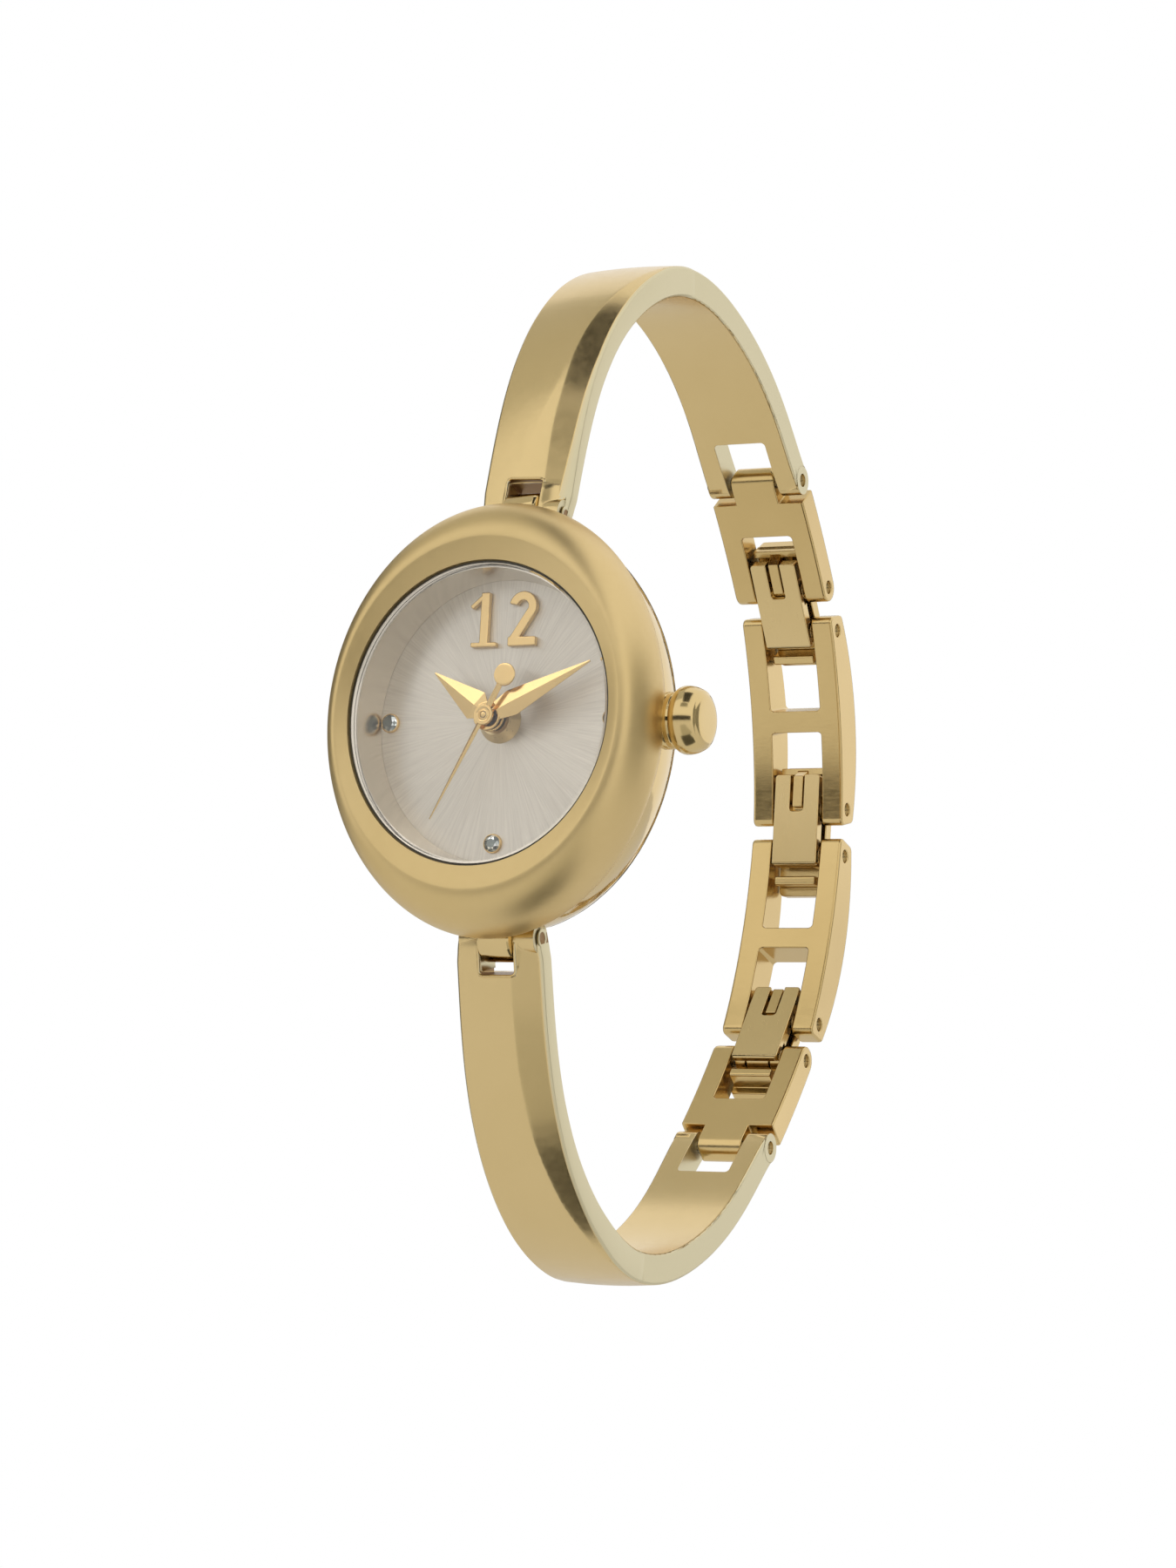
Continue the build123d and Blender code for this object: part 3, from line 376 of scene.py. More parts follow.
def facets(name):
    """Foil-backed cut stone whose facets carry painted glints: each facet's colour, read from the
    facet attribute, is painted from near black to white, as painted highlights and painted dark
    reflections."""
    material, tree, shader = new_material(name)
    source = {"attribute_type": "GEOMETRY", "attribute_name": "facet"}
    share = add(tree, "ShaderNodeAttribute", **source).outputs["Fac"]
    # Painted tones of the facets, from painted dark reflections to painted white glints.
    dark, dim, pale, white = (0.03, 0.035, 0.03), (0.30, 0.33, 0.29), (0.85, 0.88, 0.86), (1, 1, 1)
    smudge = noise(tree, object_mapping(tree), scale=900.0, detail=2.0)
    feed(tree, shader, {
        "Metallic": 0.8,
        "Coat Weight": 0.6,
        "Base Color": ramp(tree, share, (0.0, dark), (0.45, dim), (0.8, pale), (1.0, white)),
        "Roughness": remap(tree, smudge, 0.03, 0.08),
    })
    return material


def plastic(name, light, dark, rough):
    """Moulded plastic with a faint flow pattern and a fine eggshell surface."""
    material, tree, shader = new_material(name)
    flow = noise(tree, object_mapping(tree, (1, 1, 3)), scale=120.0, detail=3.0)
    grain = noise(tree, object_mapping(tree), scale=4000.0, detail=2.0)
    feed(tree, shader, {
        "Base Color": ramp(tree, flow, (0.3, dark), (0.7, light)),
        "Roughness": remap(tree, grain, rough - 0.06, rough + 0.06),
        "Normal": bump(tree, grain, 0.15),
    })
    return material


# ---------------- settings


def tone(name, description, default):
    """Setting of a colour."""
    return bpy.props.FloatVectorProperty(
        name=name, description=description, subtype="COLOR", default=default, min=0, max=1
    )


def length(name, description, millimetres):
    """Setting of a length, given in millimetres and kept in metres."""
    return bpy.props.FloatProperty(
        name=name, description=description, default=millimetres * MM, unit="LENGTH", precision=6
    )


def number(name, description, default, unit="NONE"):
    """Setting of any other number."""
    return bpy.props.FloatProperty(name=name, description=description, default=default, unit=unit)


class WatchFinishSettings(bpy.types.PropertyGroup):
    """Colours of the watch's finishes."""

    gold: tone("Gold", "Light tone of the plating", (0.77, 0.585, 0.29))
    gold_shade: tone("Gold shade", "Dark tone of the plating", (0.71, 0.53, 0.245))
    hand_gold: tone("Hand gold", "Tone of the hands and figures", (0.80, 0.56, 0.24))
    dial: tone("Dial", "Light tone of the dial", (0.80, 0.74, 0.63))
    dial_shade: tone("Dial shade", "Dark tone of the dial", (0.60, 0.54, 0.45))


class WatchShapeSettings(bpy.types.PropertyGroup):
    """Sizes of the bezel, the window, the crown and the edges."""

    window_half_width: length("Window half width", "Half the window across", 9.35)
    window_half_height: length("Window half height", "Half the window from six to twelve", 9.9)
    bezel_half_width: length("Bezel half width", "Half the bezel across", 11.6)
    bezel_half_height: length("Bezel half height", "Half the bezel from six to twelve", 14.15)
    crown_radius: length("Crown radius", "Widest radius of the crown", 2.2)
    link_edge: length("Link edge", "Width of the rolled edges of arms and links", 0.10)


class WatchStageSettings(bpy.types.PropertyGroup):
    """Camera, floor and lamps."""

    lens: number("Lens", "Focal length", 100.0, "CAMERA")
    floor_height: length("Floor height", "Height of the floor under the watch", -160.0)
    top_power: number("Top power", "Power of the top lamp", 1.15, "POWER")
    side_power: number("Side power", "Power of the side lamp", 1.55, "POWER")
    world_level: number("World level", "Strength of the surrounding light", 0.7)


def finish_table(settings):
    """Build every finish once, from the colours in the settings."""
    gold, shade = tuple(settings.gold), tuple(settings.gold_shade)
    hand = tuple(settings.hand_gold)
    rich = (0.96 * gold[0], 0.93 * gold[1], 0.85 * gold[2])
    deep = (0.90 * shade[0], 0.87 * shade[1], 0.80 * shade[2])
    bronze = tuple(0.85 * c for c in hand)
    even = (300, 300, 300)
    metals = {
        "polished_gold": (gold, shade, 0.07, 0.11, even, 0.03),
        "crown_gold": (gold, shade, 0.13, 0.17, even, 0.03),
        "bezel_gold": (gold, shade, 0.37, 0.43, even, 0.06),
        "satin_gold": (gold, shade, 0.22, 0.28, (1500, 200, 200), 0.10),
        "link_gold": (rich, deep, 0.18, 0.26, (200, 900, 900), 0.08),
        "arm_gold": (gold, shade, 0.20, 0.27, even, 0.10),
        # Dark brown painted shade for the walls of the arms' slots and for the pin eyes, with a
        # fine brushed grain.
        "slot_painted_shade": (
            (0.30, 0.17, 0.06), (0.16, 0.085, 0.03), 0.25, 0.35, (200, 3000, 3000), 0.3
        ),
        "hand_gold": (hand, bronze, 0.14, 0.20, (400, 400, 400), 0.05),
        "rehaut_silver": (
            (0.76, 0.69, 0.58), (0.68, 0.61, 0.50), 0.16, 0.24, (600, 600, 60), 0.05
        ),
        "movement_brass": (
            (0.80, 0.65, 0.38), (0.70, 0.55, 0.30), 0.25, 0.4, (900, 900, 60), 0.1
        ),
        "steel": ((0.70, 0.69, 0.66), (0.58, 0.57, 0.55), 0.22, 0.34, (200, 1200, 1200), 0.08),
        "copper_wire": (
            (0.80, 0.36, 0.16), (0.62, 0.26, 0.10), 0.25, 0.35, (200, 200, 6000), 0.4
        ),
    }
    plastics = {
        "clear_seal": ((0.05, 0.04, 0.02), (0.035, 0.028, 0.015), 0.3),
        "rubber_seal": ((0.03, 0.03, 0.03), (0.02, 0.02, 0.02), 0.6),
        "movement_plastic": ((0.85, 0.85, 0.82), (0.78, 0.78, 0.75), 0.45),
        "board_green": ((0.03, 0.20, 0.10), (0.02, 0.14, 0.07), 0.3),
    }
    table = {name: metal(name, *values) for name, values in metals.items()}
    table |= {name: plastic(name, *values) for name, values in plastics.items()}
    ground_sides(table["arm_gold"], (0.69, 0.615, 0.40), 0.36, 0.60, 0.72)
    dial_tones = tuple(settings.dial), tuple(settings.dial_shade)
    table["dial_champagne"] = sunray("dial_champagne", *dial_tones)
    table["crystal_glass"] = clear_glass("crystal_glass")
    table["stone"] = facets("stone")
    return table


# Nodes whose finish is another one than their slot's.
NODE_FINISHES = {"rehaut_ring": "rehaut_silver", "crystal_gasket": "clear_seal"}


def node_slots():
    """Slot of every node in the record."""
    return {row["node"]: row["material_slot"] for row in frame["record"]["subparts"]}


class WATCH_OT_finishes(bpy.types.Operator):
    """Give every carried-over piece its finish"""

    bl_idname = "watch.finishes"
    bl_label = "Finishes"

    def execute(self, context):
        FINISHES.update(finish_table(context.scene.watch_finish))
        slots = node_slots()
        for name, node in frame["nodes"].items():
            node.data.materials.clear()
            node.data.materials.append(FINISHES[NODE_FINISHES.get(name, slots[name])])
        return {"FINISHED"}


# ---------------- stage


CAMERA_POSE = (
    (0.89834, 0.01634, 0.43901, 0.127998),
    (0.43593, -0.15695, -0.88619, -0.272264),
    (0.05442, 0.98747, -0.14812, -0.045205),
    (0, 0, 0, 1),
)
SENSOR_WIDTH = 36.0
FLOOR_SIZE = 4.0
CARD_HEIGHT = -0.155
# Boards that only reflections see: name, width, height, place in metres, grey.
FLAGS = (
    ("left_flag", 1.30, 1.10, (-0.95, 0.20, 0.10), (0.24, 0.24, 0.22)),
    ("front_flag", 1.30, 0.24, (0.04, -0.90, -0.015), (0.04, 0.04, 0.04)),
    ("right_flag", 0.85, 0.66, (0.86, 0.23, 0.08), (0.35, 0.35, 0.32)),
    ("back_flag", 0.70, 0.36, (-0.42, 0.88, 0.15), (0.05, 0.05, 0.04)),
    ("arm_card", 0.90, 0.80, (-0.52, -0.10, 0.82), (0.74, 0.74, 0.70)),
    ("upper_flag", 0.34, 0.76, (0.07, -0.25, 0.90), (0.06, 0.06, 0.06)),
    ("upper_card", 0.36, 0.22, (0.12, -0.66, 0.60), (0.42, 0.42, 0.39)),
    ("floor_flag", 0.10, 0.12, (0.045, -0.05, CARD_HEIGHT), (0.10, 0.10, 0.09)),
    ("floor_card", 0.12, 0.26, (0.070, -0.24, CARD_HEIGHT), (0.60, 0.60, 0.56)),
)


def stage_panel(name, width, height, place, grey):
    """Flat board at a place in metres, square to its line to the watch, or level on the floor."""
    u = np.array([-0.5, 0.5, 0.5, -0.5]) * width
    v = np.array([-0.5, -0.5, 0.5, 0.5]) * height
    away = Vector((0, 0, -1)) if place[2] == CARD_HEIGHT else Vector(place).normalized()
    across = Vector((0, 0, 1)).cross(away) if abs(away.z) < 0.99 else Vector((1, 0, 0))
    across.normalize()
    rise = away.cross(across)
    points = np.array(place) + u[:, None] * np.array(across) + v[:, None] * np.array(rise)
    mesh = bpy.data.meshes.new(name)
    mesh.from_pydata(points.tolist(), [], [(0, 1, 2, 3)])
    board = link_object(name, mesh)
    material, tree, shader = new_material(name)
    feed(tree, shader, {"Base Color": (*grey, 1), "Roughness": 0.9})
    mesh.materials.append(material)
    return board


def stage_lamp(name, place, power, width, height):
    """Area lamp that looks at the watch and that reflections don't see."""
    data = bpy.data.lights.new(name, "AREA")
    data.shape = "RECTANGLE"
    data.size, data.size_y = width, height
    data.energy = power
    lamp = link_object(name, data)
    lamp.location = place
    lamp.rotation_euler = (-Vector(place)).to_track_quat("-Z", "Y").to_euler()
    lamp.visible_glossy = False


def surround(strength):
    """World of even light that is white to the camera, in reflections and through the glass."""
    world = bpy.data.worlds.new("surround")
    world.use_nodes = True
    tree = world.node_tree
    white = {"Color": (1, 1, 1, 1), "Strength": 1.0}
    lit = feed(tree, tree.nodes["Background"], {"Color": (1, 1, 1, 1), "Strength": strength})
    shown = add(tree, "ShaderNodeBackground", white)
    path = add(tree, "ShaderNodeLightPath")
    seen = path.outputs["Is Camera Ray"]
    for ray in ("Is Glossy Ray", "Is Transmission Ray"):
        inputs = {0: seen, 1: path.outputs[ray]}
        seen = add(tree, "ShaderNodeMath", inputs, operation="MAXIMUM").outputs["Value"]
    inputs = {"Fac": seen, 1: lit.outputs["Background"], 2: shown.outputs["Background"]}
    mix = add(tree, "ShaderNodeMixShader", inputs)
    feed(tree, tree.nodes["World Output"], {"Surface": mix.outputs["Shader"]})
    return world


class WATCH_OT_stage(bpy.types.Operator):
    """Set up the camera, a plain pale floor, the surrounding light, the lamps and the grey flags"""

    bl_idname = "watch.stage"
    bl_label = "Stage"

    def execute(self, context):
        scene, settings = context.scene, context.scene.watch_stage
        scene.view_settings.view_transform = "Standard"
        data = bpy.data.cameras.new("camera")
        data.lens = settings.lens
        data.sensor_width = SENSOR_WIDTH
        data.clip_start = 0.01
        scene.camera = link_object("camera", data)
        scene.camera.matrix_world = Matrix(CAMERA_POSE)
        scene.world = surround(settings.world_level)
        floor_place = (0, 0, settings.floor_height)
        stage_panel("floor", FLOOR_SIZE, FLOOR_SIZE, floor_place, (0.9, 0.9, 0.89))
        for row in FLAGS:
            flag = stage_panel(*row)
            for ray in ("camera", "diffuse", "transmission", "shadow"):
                setattr(flag, "visible_" + ray, False)
        stage_lamp("top_lamp", (-0.40, -0.62, 0.62), settings.top_power, 0.7, 0.5)
        stage_lamp("side_lamp", (0.85, -0.42, 0.25), settings.side_power, 0.5, 0.9)
        return {"FINISHED"}


# ---------------- pieces


class WATCH_OT_bezel(bpy.types.Operator):
    """Domed bezel ring round the window"""

    bl_idname = "watch.bezel"
    bl_label = "Bezel"

    def execute(self, context):
        """A point at a share s from window to bezel lies at (a cos t, b sin t), a and b blended by
        s; the dome is a quarter ellipse from the crest to the widest line."""
        shape = context.scene.watch_shape
        window = np.array((shape.window_half_width, shape.window_half_height)) / MM
        bezel = np.array((shape.bezel_half_width, shape.bezel_half_height)) / MM
        crest, edge, top, equator, base, seat = 0.36, 3.72, 4.02, 0.5, -0.6, 2.86
        wall, taper = 0.81, 0.155
        t = np.linspace(0, 1, 14, endpoint=False)
        lip = columns(crest * (1.75 * t - 0.75 * t**2), edge + (top - edge) * (2 * t - t**2))
        a = np.linspace(np.pi / 2, 0, 44)
        dome = columns(crest + (1 - crest) * np.cos(a), equator + (top - equator) * np.sin(a))
        s = np.linspace(0, 1, 7)[1:]
        skirt = columns(1 - taper * s**2, equator + (base - equator) * s)
        step = wall / (bezel - window)[0]
        inside = np.array([
            (step, base), (step, seat), (0.0, seat), (-0.01, edge - 0.22), (-0.006, edge - 0.06)
        ])
        profile = np.concatenate([lip, dome, skirt, inside])
        angle = full_turn(288)
        half = window + profile[:, :1] * (bezel - window)
        half[(profile[:, 1] <= seat) & (np.abs(profile[:, 0] - step) < 1e-6)] = window + wall
        x, z = half[:, :1] * np.cos(angle), half[:, 1:] * np.sin(angle)
        shell = ring_shell(dial_point(x, z, profile[:, 1:]), join_ends=True)
        mesh_piece("bezel_ring", shell, "case", "bezel_gold", 32.0, node="bezel")
        return {"FINISHED"}


class WATCH_OT_dial(bpy.types.Operator):
    """Sunray dial with its two feet"""

    bl_idname = "watch.dial"
    bl_label = "Dial"

    def execute(self, context):
        """Points at (a cos t, b sin t), a and b blended from the centre hole to the rim; u is the
        share of a turn and v the share of the way out."""
        low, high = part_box("dial")
        half = np.array((high.x - low.x, high.z - low.z)) / 2 / MM
        hole, thickness, foot_reach, foot_radius, foot_length = 1.0, 0.4, 7.4, 0.35, 0.9
        foot_turn, rings, sectors = np.radians(20.0), 24, 192
        s = np.concatenate([np.linspace(0, 1, rings), np.linspace(1, 0, rings)])[:, None]
        spread = hole + s * (half - hole)
        height = np.repeat((0.0, -thickness), rings)[:, None]
        angle = full_turn(sectors)
        x, z = spread[:, :1] * np.cos(angle), spread[:, 1:] * np.sin(angle)
        plate = ring_shell(dial_point(x, z, height), join_ends=True)
        rod = [(0, 0), (0, foot_radius), (foot_length, foot_radius), (foot_length, 0)]
        feet = []
        for side in (foot_reach, -foot_reach):
            x, z = side * np.cos(foot_turn), side * np.sin(foot_turn)
            feet.append(turned_shell(rod, (x, DIAL_Y + thickness - 0.01, z), (0, 1, 0), 24))
        shell = join_shells(plate, *feet)
        mesh = mesh_piece("sunray_dial", shell, "case", "dial_champagne", 30.0, node="dial").data
        corner = np.zeros(len(mesh.loops), int)
        mesh.loops.foreach_get("vertex_index", corner)
        on_plate = corner < len(plate[0])
        u = np.where(on_plate, (corner % sectors) / sectors, 0.0)
        quads = u[: 8 * rings * sectors].reshape(-1, 4)
        quads[(quads < 0.5) & (quads.max(1, keepdims=True) > 0.9)] += 1.0
        v = np.where(on_plate, s[np.minimum(corner // sectors, 2 * rings - 1), 0], 0.0)
        mesh.uv_layers.new(name="turns").data.foreach_set("uv", columns(u, v).ravel())
        return {"FINISHED"}


def blade_shell(turn, height, reach, half, edge, ridge):
    """Hand blade: at each reach from the dial axis stands a section with a flat foot, two upright
    edges and two flanks that meet in a ridge; the ridge's height over the edges goes with the
    section's half width."""
    turn = np.radians(turn)
    along = np.array((np.sin(turn), 0, np.cos(turn)))
    across = np.array((np.cos(turn), 0, -np.sin(turn)))
    reach, half = np.array(reach, float), np.array(half, float)
    crest = edge + (ridge - edge) * half / half.max()
    side = columns(-half, half, half, 0, -half)
    rise = columns(0, 0, edge, crest, edge)
    verts = np.array((0, DIAL_Y - height, 0)) + reach[:, None, None] * along
    verts = verts + side[..., None] * across + rise[..., None] * np.array((0, -1, 0))
    return ring_shell(verts)


def washer_shell(height, bore, radius):
    """Flat ring on the dial axis with a rolled upper edge."""
    rim = [(0, bore), (0, radius - 0.02), (0.03, radius), (0.10, radius), (0.145, radius - 0.03)]
    rim += [(0.16, radius - 0.08), (0.16, bore + 0.03), (0.13, bore)]
    return turned_shell(rim, (0, DIAL_Y - height, 0), (0, -1, 0))


# Profiles of the seconds hand's hub, the pin in it and the round counterweight.
HUB = (
    (0, 0.22), (0, 0.66), (0.03, 0.68), (0.12, 0.68), (0.17, 0.65), (0.18, 0.60), (0.18, 0.50),
    (0.15, 0.46), (0.13, 0.42), (0.13, 0.36), (0.16, 0.32), (0.18, 0.28), (0.18, 0.24),
    (0.16, 0.22),
)
HUB_PIN = ((0.10, 0), (0.10, 0.20), (0.19, 0.19), (0.23, 0.15), (0.25, 0.08), (0.255, 0))
DISC = (
    (0, 0), (0, 0.72), (0.03, 0.75), (0.09, 0.75), (0.13, 0.72), (0.15, 0.64), (0.16, 0.4),
    (0.165, 0),
)


class WATCH_OT_hands(bpy.types.Operator):
    """Two ridged kite hands and a needle with a round counterweight"""

    bl_idname = "watch.hands"
    bl_label = "Hands"

    def execute(self, context):
        hour, minute, seconds = 1.35, 1.85, 2.3  # heights of the hands over the dial
        turn, disc_reach, up = 207.5, 2.9, (0, -1, 0)
        foot, behind = (0, DIAL_Y - seconds, 0), np.radians(turn + 180.0)
        disc_place = (disc_reach * np.sin(behind), foot[1], disc_reach * np.cos(behind))
        tail_reach, tail_half = (0.60, 1.6, disc_reach), (0.20, 0.20, 0.20)
        hands = {
            "hour": (
                blade_shell(305.4, hour, (0.74, 1.35, 5.15), (0.60, 1.02, 0.05), 0.07, 0.33),
                washer_shell(hour, 0.74, 0.95),
            ),
            "minute": (
                blade_shell(64.6, minute, (0.55, 1.90, 7.90), (0.56, 0.87, 0.05), 0.07, 0.31),
                washer_shell(minute, 0.47, 0.95),
            ),
            "seconds": (
                blade_shell(turn, seconds, (0.60, 3.0, 7.55), (0.17, 0.13, 0.035), 0.05, 0.14),
                blade_shell(turn - 180.0, seconds, tail_reach, tail_half, 0.06, 0.14),
                turned_shell(HUB, foot, up),
                turned_shell(HUB_PIN, foot, up, 32),
                turned_shell(DISC, disc_place, up),
            ),
        }
        for name, shells in hands.items():
            node, smooth_angle = name + "_hand", 30.0 if name == "seconds" else 8.0
            mesh_piece(
                node + "_blade", join_shells(*shells), name + "_works", "hand_gold", smooth_angle,
                node=node,
            )
        return {"FINISHED"}


class WATCH_OT_stones(bpy.types.Operator):
    """Brilliant-cut stones at three, six and nine, in rolled settings"""

    bl_idname = "watch.stones"
    bl_label = "Stones"

    def execute(self, context):
        """Rings of points at angles of a sixteenth turn: an eight-sided table, eight points below
        it half a step round, sixteen on the girdle and one culet; triangles and kites join them."""
        radius, reach, belt_width = 0.54, 8.0, 0.03
        table, middle, girdle, foot = 0.37, 0.305, 0.20, 0.015
        step = full_turn(16)

        def ring(share, turns, height):
            """Points round the stone's axis at a share of its radius."""
            size = share * radius
            return columns(size * np.cos(turns), size * np.sin(turns), height)

        local = np.concatenate([
            ring(0.56, step[::2], table), ring(0.80, step[1::2], middle), ring(1.0, step, girdle),
            ring(1.0, step, girdle - belt_width), [(0, 0, foot)],
        ])
        k, j = np.arange(8), np.arange(16)
        n, m = (k + 1) % 8, (j + 1) % 16
        faces = [list(range(8))]
        for corners in (
            (k, 8 + k, n),
            (n, 8 + k, 16 + 2 * n, 8 + n),
            (8 + k, 16 + 2 * k, 16 + 2 * k + 1),
            (8 + k, 16 + 2 * k + 1, 16 + (2 * k + 2) % 16),
            (16 + j, 32 + j, 32 + m, 16 + m),
            (32 + j, 48, 32 + m),
        ):
            faces += columns(*corners).tolist()
        cup = [(0, 0.56), (0, 0.64), (0.14, 0.64), (0.20, 0.62), (0.225, 0.59), (0.225, 0.565)]
        cup += [(0.20, 0.55)]
        stones, settings = [], []
        for turn in np.radians((180, 270, 360)):
            x, z = reach * np.cos(turn), reach * np.sin(turn)
            stones.append(outward(dial_point(x + local[:, 0], z + local[:, 1], local[:, 2]), faces))
            settings.append(turned_shell(cup, (x, DIAL_Y, z), (0, -1, 0), 40))
        stones = join_shells(*stones)
        mesh = mesh_piece("brilliant_stones", stones, "case", "stone", 1.0, node="dial_stones").data
        mesh.polygons.foreach_set("use_smooth", np.zeros(len(mesh.polygons), bool))
        # Painted glints: a random share per facet, weighted towards dark, picks its painted
        # highlight or painted dark reflection.
        painted_glint = np.random.default_rng(12).random(len(mesh.polygons)) ** 1.6
        mesh.attributes.new("facet", "FLOAT", "FACE").data.foreach_set("value", painted_glint)
        mesh_piece(
            "rolled_settings", join_shells(*settings), "case", "hand_gold", 50.0,
            node="stone_settings",
        )
        return {"FINISHED"}


# Profiles along the crown's axis: behind the barrel, over its end, and the case's collar.
CROWN_BACK = (
    (13.25, 0.0), (13.25, 0.46), (13.25, 1.25), (12.05, 1.25), (12.05, 1.84), (12.07, 1.92),
)
CROWN_END = (
    (13.775, 1.815), (13.80, 1.77), (13.815, 1.72), (13.87, 1.66), (13.93, 1.56), (13.975, 1.42),
    (14.0, 1.25), (14.015, 1.0), (14.025, 0.6), (14.03, 0.0),
)
COLLAR = (
    (10.6, 1.30), (10.6, 1.84), (11.50, 1.84), (11.56, 1.81), (11.58, 1.74), (11.66, 1.74),
    (11.68, 1.80), (11.74, 1.83), (11.94, 1.83), (11.99, 1.80), (12.0, 1.74), (12.0, 1.45),
)


class WATCH_OT_crown(bpy.types.Operator):
    """Barrel crown with a bare end, and the stepped collar behind it"""

    bl_idname = "watch.crown"
    bl_label = "Crown"

    def execute(self, context):
        """The barrel's radius is r sqrt(1 - (way from its widest place / reach)^2), with a shorter
        reach behind that place than before it; a rolled edge and a faint dome close the end."""
        radius = context.scene.watch_shape.crown_radius / MM
        line = (0, DIAL_Y - CROWN_HEIGHT, 0)
        back, widest, front = 12.13, 12.62, 13.72
        x = np.concatenate([
            np.linspace(back, widest, 12, endpoint=False), np.linspace(widest, front, 26)
        ])
        reach = np.where(x < widest, 1.15, 2.09)
        barrel = columns(x, radius * np.sqrt(1 - ((x - widest) / reach) ** 2))
        shell = turned_shell(np.concatenate([CROWN_BACK, barrel, CROWN_END]), line, (1, 0, 0), 128)
        mesh_piece(
            "barrel_crown", shell, "crown_and_stem", "crown_gold", 35.0,
            node="crown",
        )
        shell = turned_shell(COLLAR, line, (1, 0, 0), 96)
        mesh_piece("crown_collar", shell, "case", "polished_gold", 35.0)
        return {"FINISHED"}


# ---------------- arms


LEAD = 40  # samples of an arm's line that run straight on in front of the lug pin
APEX = (-6.5, 33.86)  # the line's highest point in side view
LUG_TURN, CHAIN_TURN = 15.0, 47.0  # the line's lean from upright at its two pins, in degrees
# Ways along the line, and how far the carried-over arm's middle stands off it there.
STAND_OFF = (
    (0.0, 5.0, 10.0, 12.3, 15.4, 17.8, 20.1, 23.6, 26.8, 29.1, 31.5, 33.0, 36.5),
    (0.0, 0.0, -0.03, -0.027, 0.057, 0.106, 0.135, 0.135, 0.10, 0.02, -0.07, -0.06, 0.0),
)
# Creases of each arm's outer face: added slope, heights of places on it, and their x.
ARM_CREASES = {
    "upper": (
        (
            0.10, (14.0, 16.0, 19.4, 22.6, 25.0, 27.0, 29.5, 32.5, 34.0),
            (-1.0, -0.9, 0.0, 0.8, 1.1, 1.45, 1.9, 2.8, 3.6),
        ),
        (0.20, (14.0, 19.5, 25.0, 27.0, 29.5, 32.5, 34.0), (1.35, 1.2, 1.3, 1.5, 1.95, 2.8, 3.6)),
    ),
    "lower": (
        (0.30, (14.0, 17.0, 22.0, 26.0, 29.5, 32.5, 34.0), (1.0, 0.95, 1.0, 1.3, 1.9, 2.8, 3.6)),
    ),
}
# Width of the right bevel at the three ways along the line.
RIGHT_BEVELS = {"upper": (0.70, 0.40, 0.17), "lower": (0.20, 0.18, 0.17)}
RIGHT_BEVEL_WAYS = (0, 5, 12)


def pin_centre(node):
    """Middle of a pin in millimetres, on the watch's middle plane."""
    low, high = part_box(node)
    return np.array((0, low.y + high.y, low.z + high.z)) / 2 / MM


def arm_curve(upper, samples=1200):
    """Middle line of an arm in side view, the way across it and the run along it. The line is the
    smooth cubic through the lug pin, shoulder, apex, hip and chain pin, with set directions at both
    ends and chord lengths as its parameter; its slopes solve the usual tridiagonal rule, and the
    stand-off table moves it on to the middle of the carried-over arm."""
    mirror = (1, 1) if upper == "upper" else (1, -1)
    lug, chain = (pin_centre(upper + end)[1:] * mirror for end in ("_lug_pin", "_arm_pin"))
    apex = np.array(APEX)
    shoulder, hip = lug + (apex - lug) * (0.209, 0.563), apex + (chain - apex) * (0.62, 0.391)
    points = np.array((lug, shoulder, apex, hip, chain))
    start, end = np.radians(LUG_TURN), np.radians(CHAIN_TURN)
    step = np.hypot(*np.diff(points, axis=0).T)
    rule, right = np.eye(5), np.zeros((5, 2))
    right[0], right[4] = (np.sin(start), np.cos(start)), (np.sin(end), -np.cos(end))
    for i in (1, 2, 3):
        rule[i, i - 1 : i + 2] = step[i], 2 * (step[i - 1] + step[i]), step[i - 1]
        rise = (points[i] - points[i - 1]) / step[i - 1], (points[i + 1] - points[i]) / step[i]
        right[i] = 3 * (step[i] * rise[0] + step[i - 1] * rise[1])
    slope = np.linalg.solve(rule, right)
    knots = np.concatenate([[0.0], np.cumsum(step)])
    u = np.linspace(0, knots[-1], samples)
    i = np.clip(np.searchsorted(knots, u, side="right") - 1, 0, 3)
    t = ((u - knots[i]) / step[i])[:, None]
    h = step[i][:, None]
    curve = (2 * t**3 - 3 * t**2 + 1) * points[i] + (t**3 - 2 * t**2 + t) * h * slope[i]
    curve += (3 * t**2 - 2 * t**3) * points[i + 1] + (t**3 - t**2) * h * slope[i + 1]
    tangent = np.gradient(curve, axis=0)
    tangent /= np.hypot(*tangent.T)[:, None]
    way = columns(-tangent[:, 1], tangent[:, 0])
    run = np.concatenate([[0.0], np.cumsum(np.hypot(*np.diff(curve, axis=0).T))])
    curve = curve + np.interp(run, *STAND_OFF)[:, None] * way
    before = np.linspace(-1, 0, LEAD, endpoint=False)
    curve = np.concatenate([curve[0] + before[:, None] * tangent[0], curve])
    way = np.concatenate([np.repeat(way[:1], LEAD, 0), way])
    return curve, way, np.concatenate([before, run])


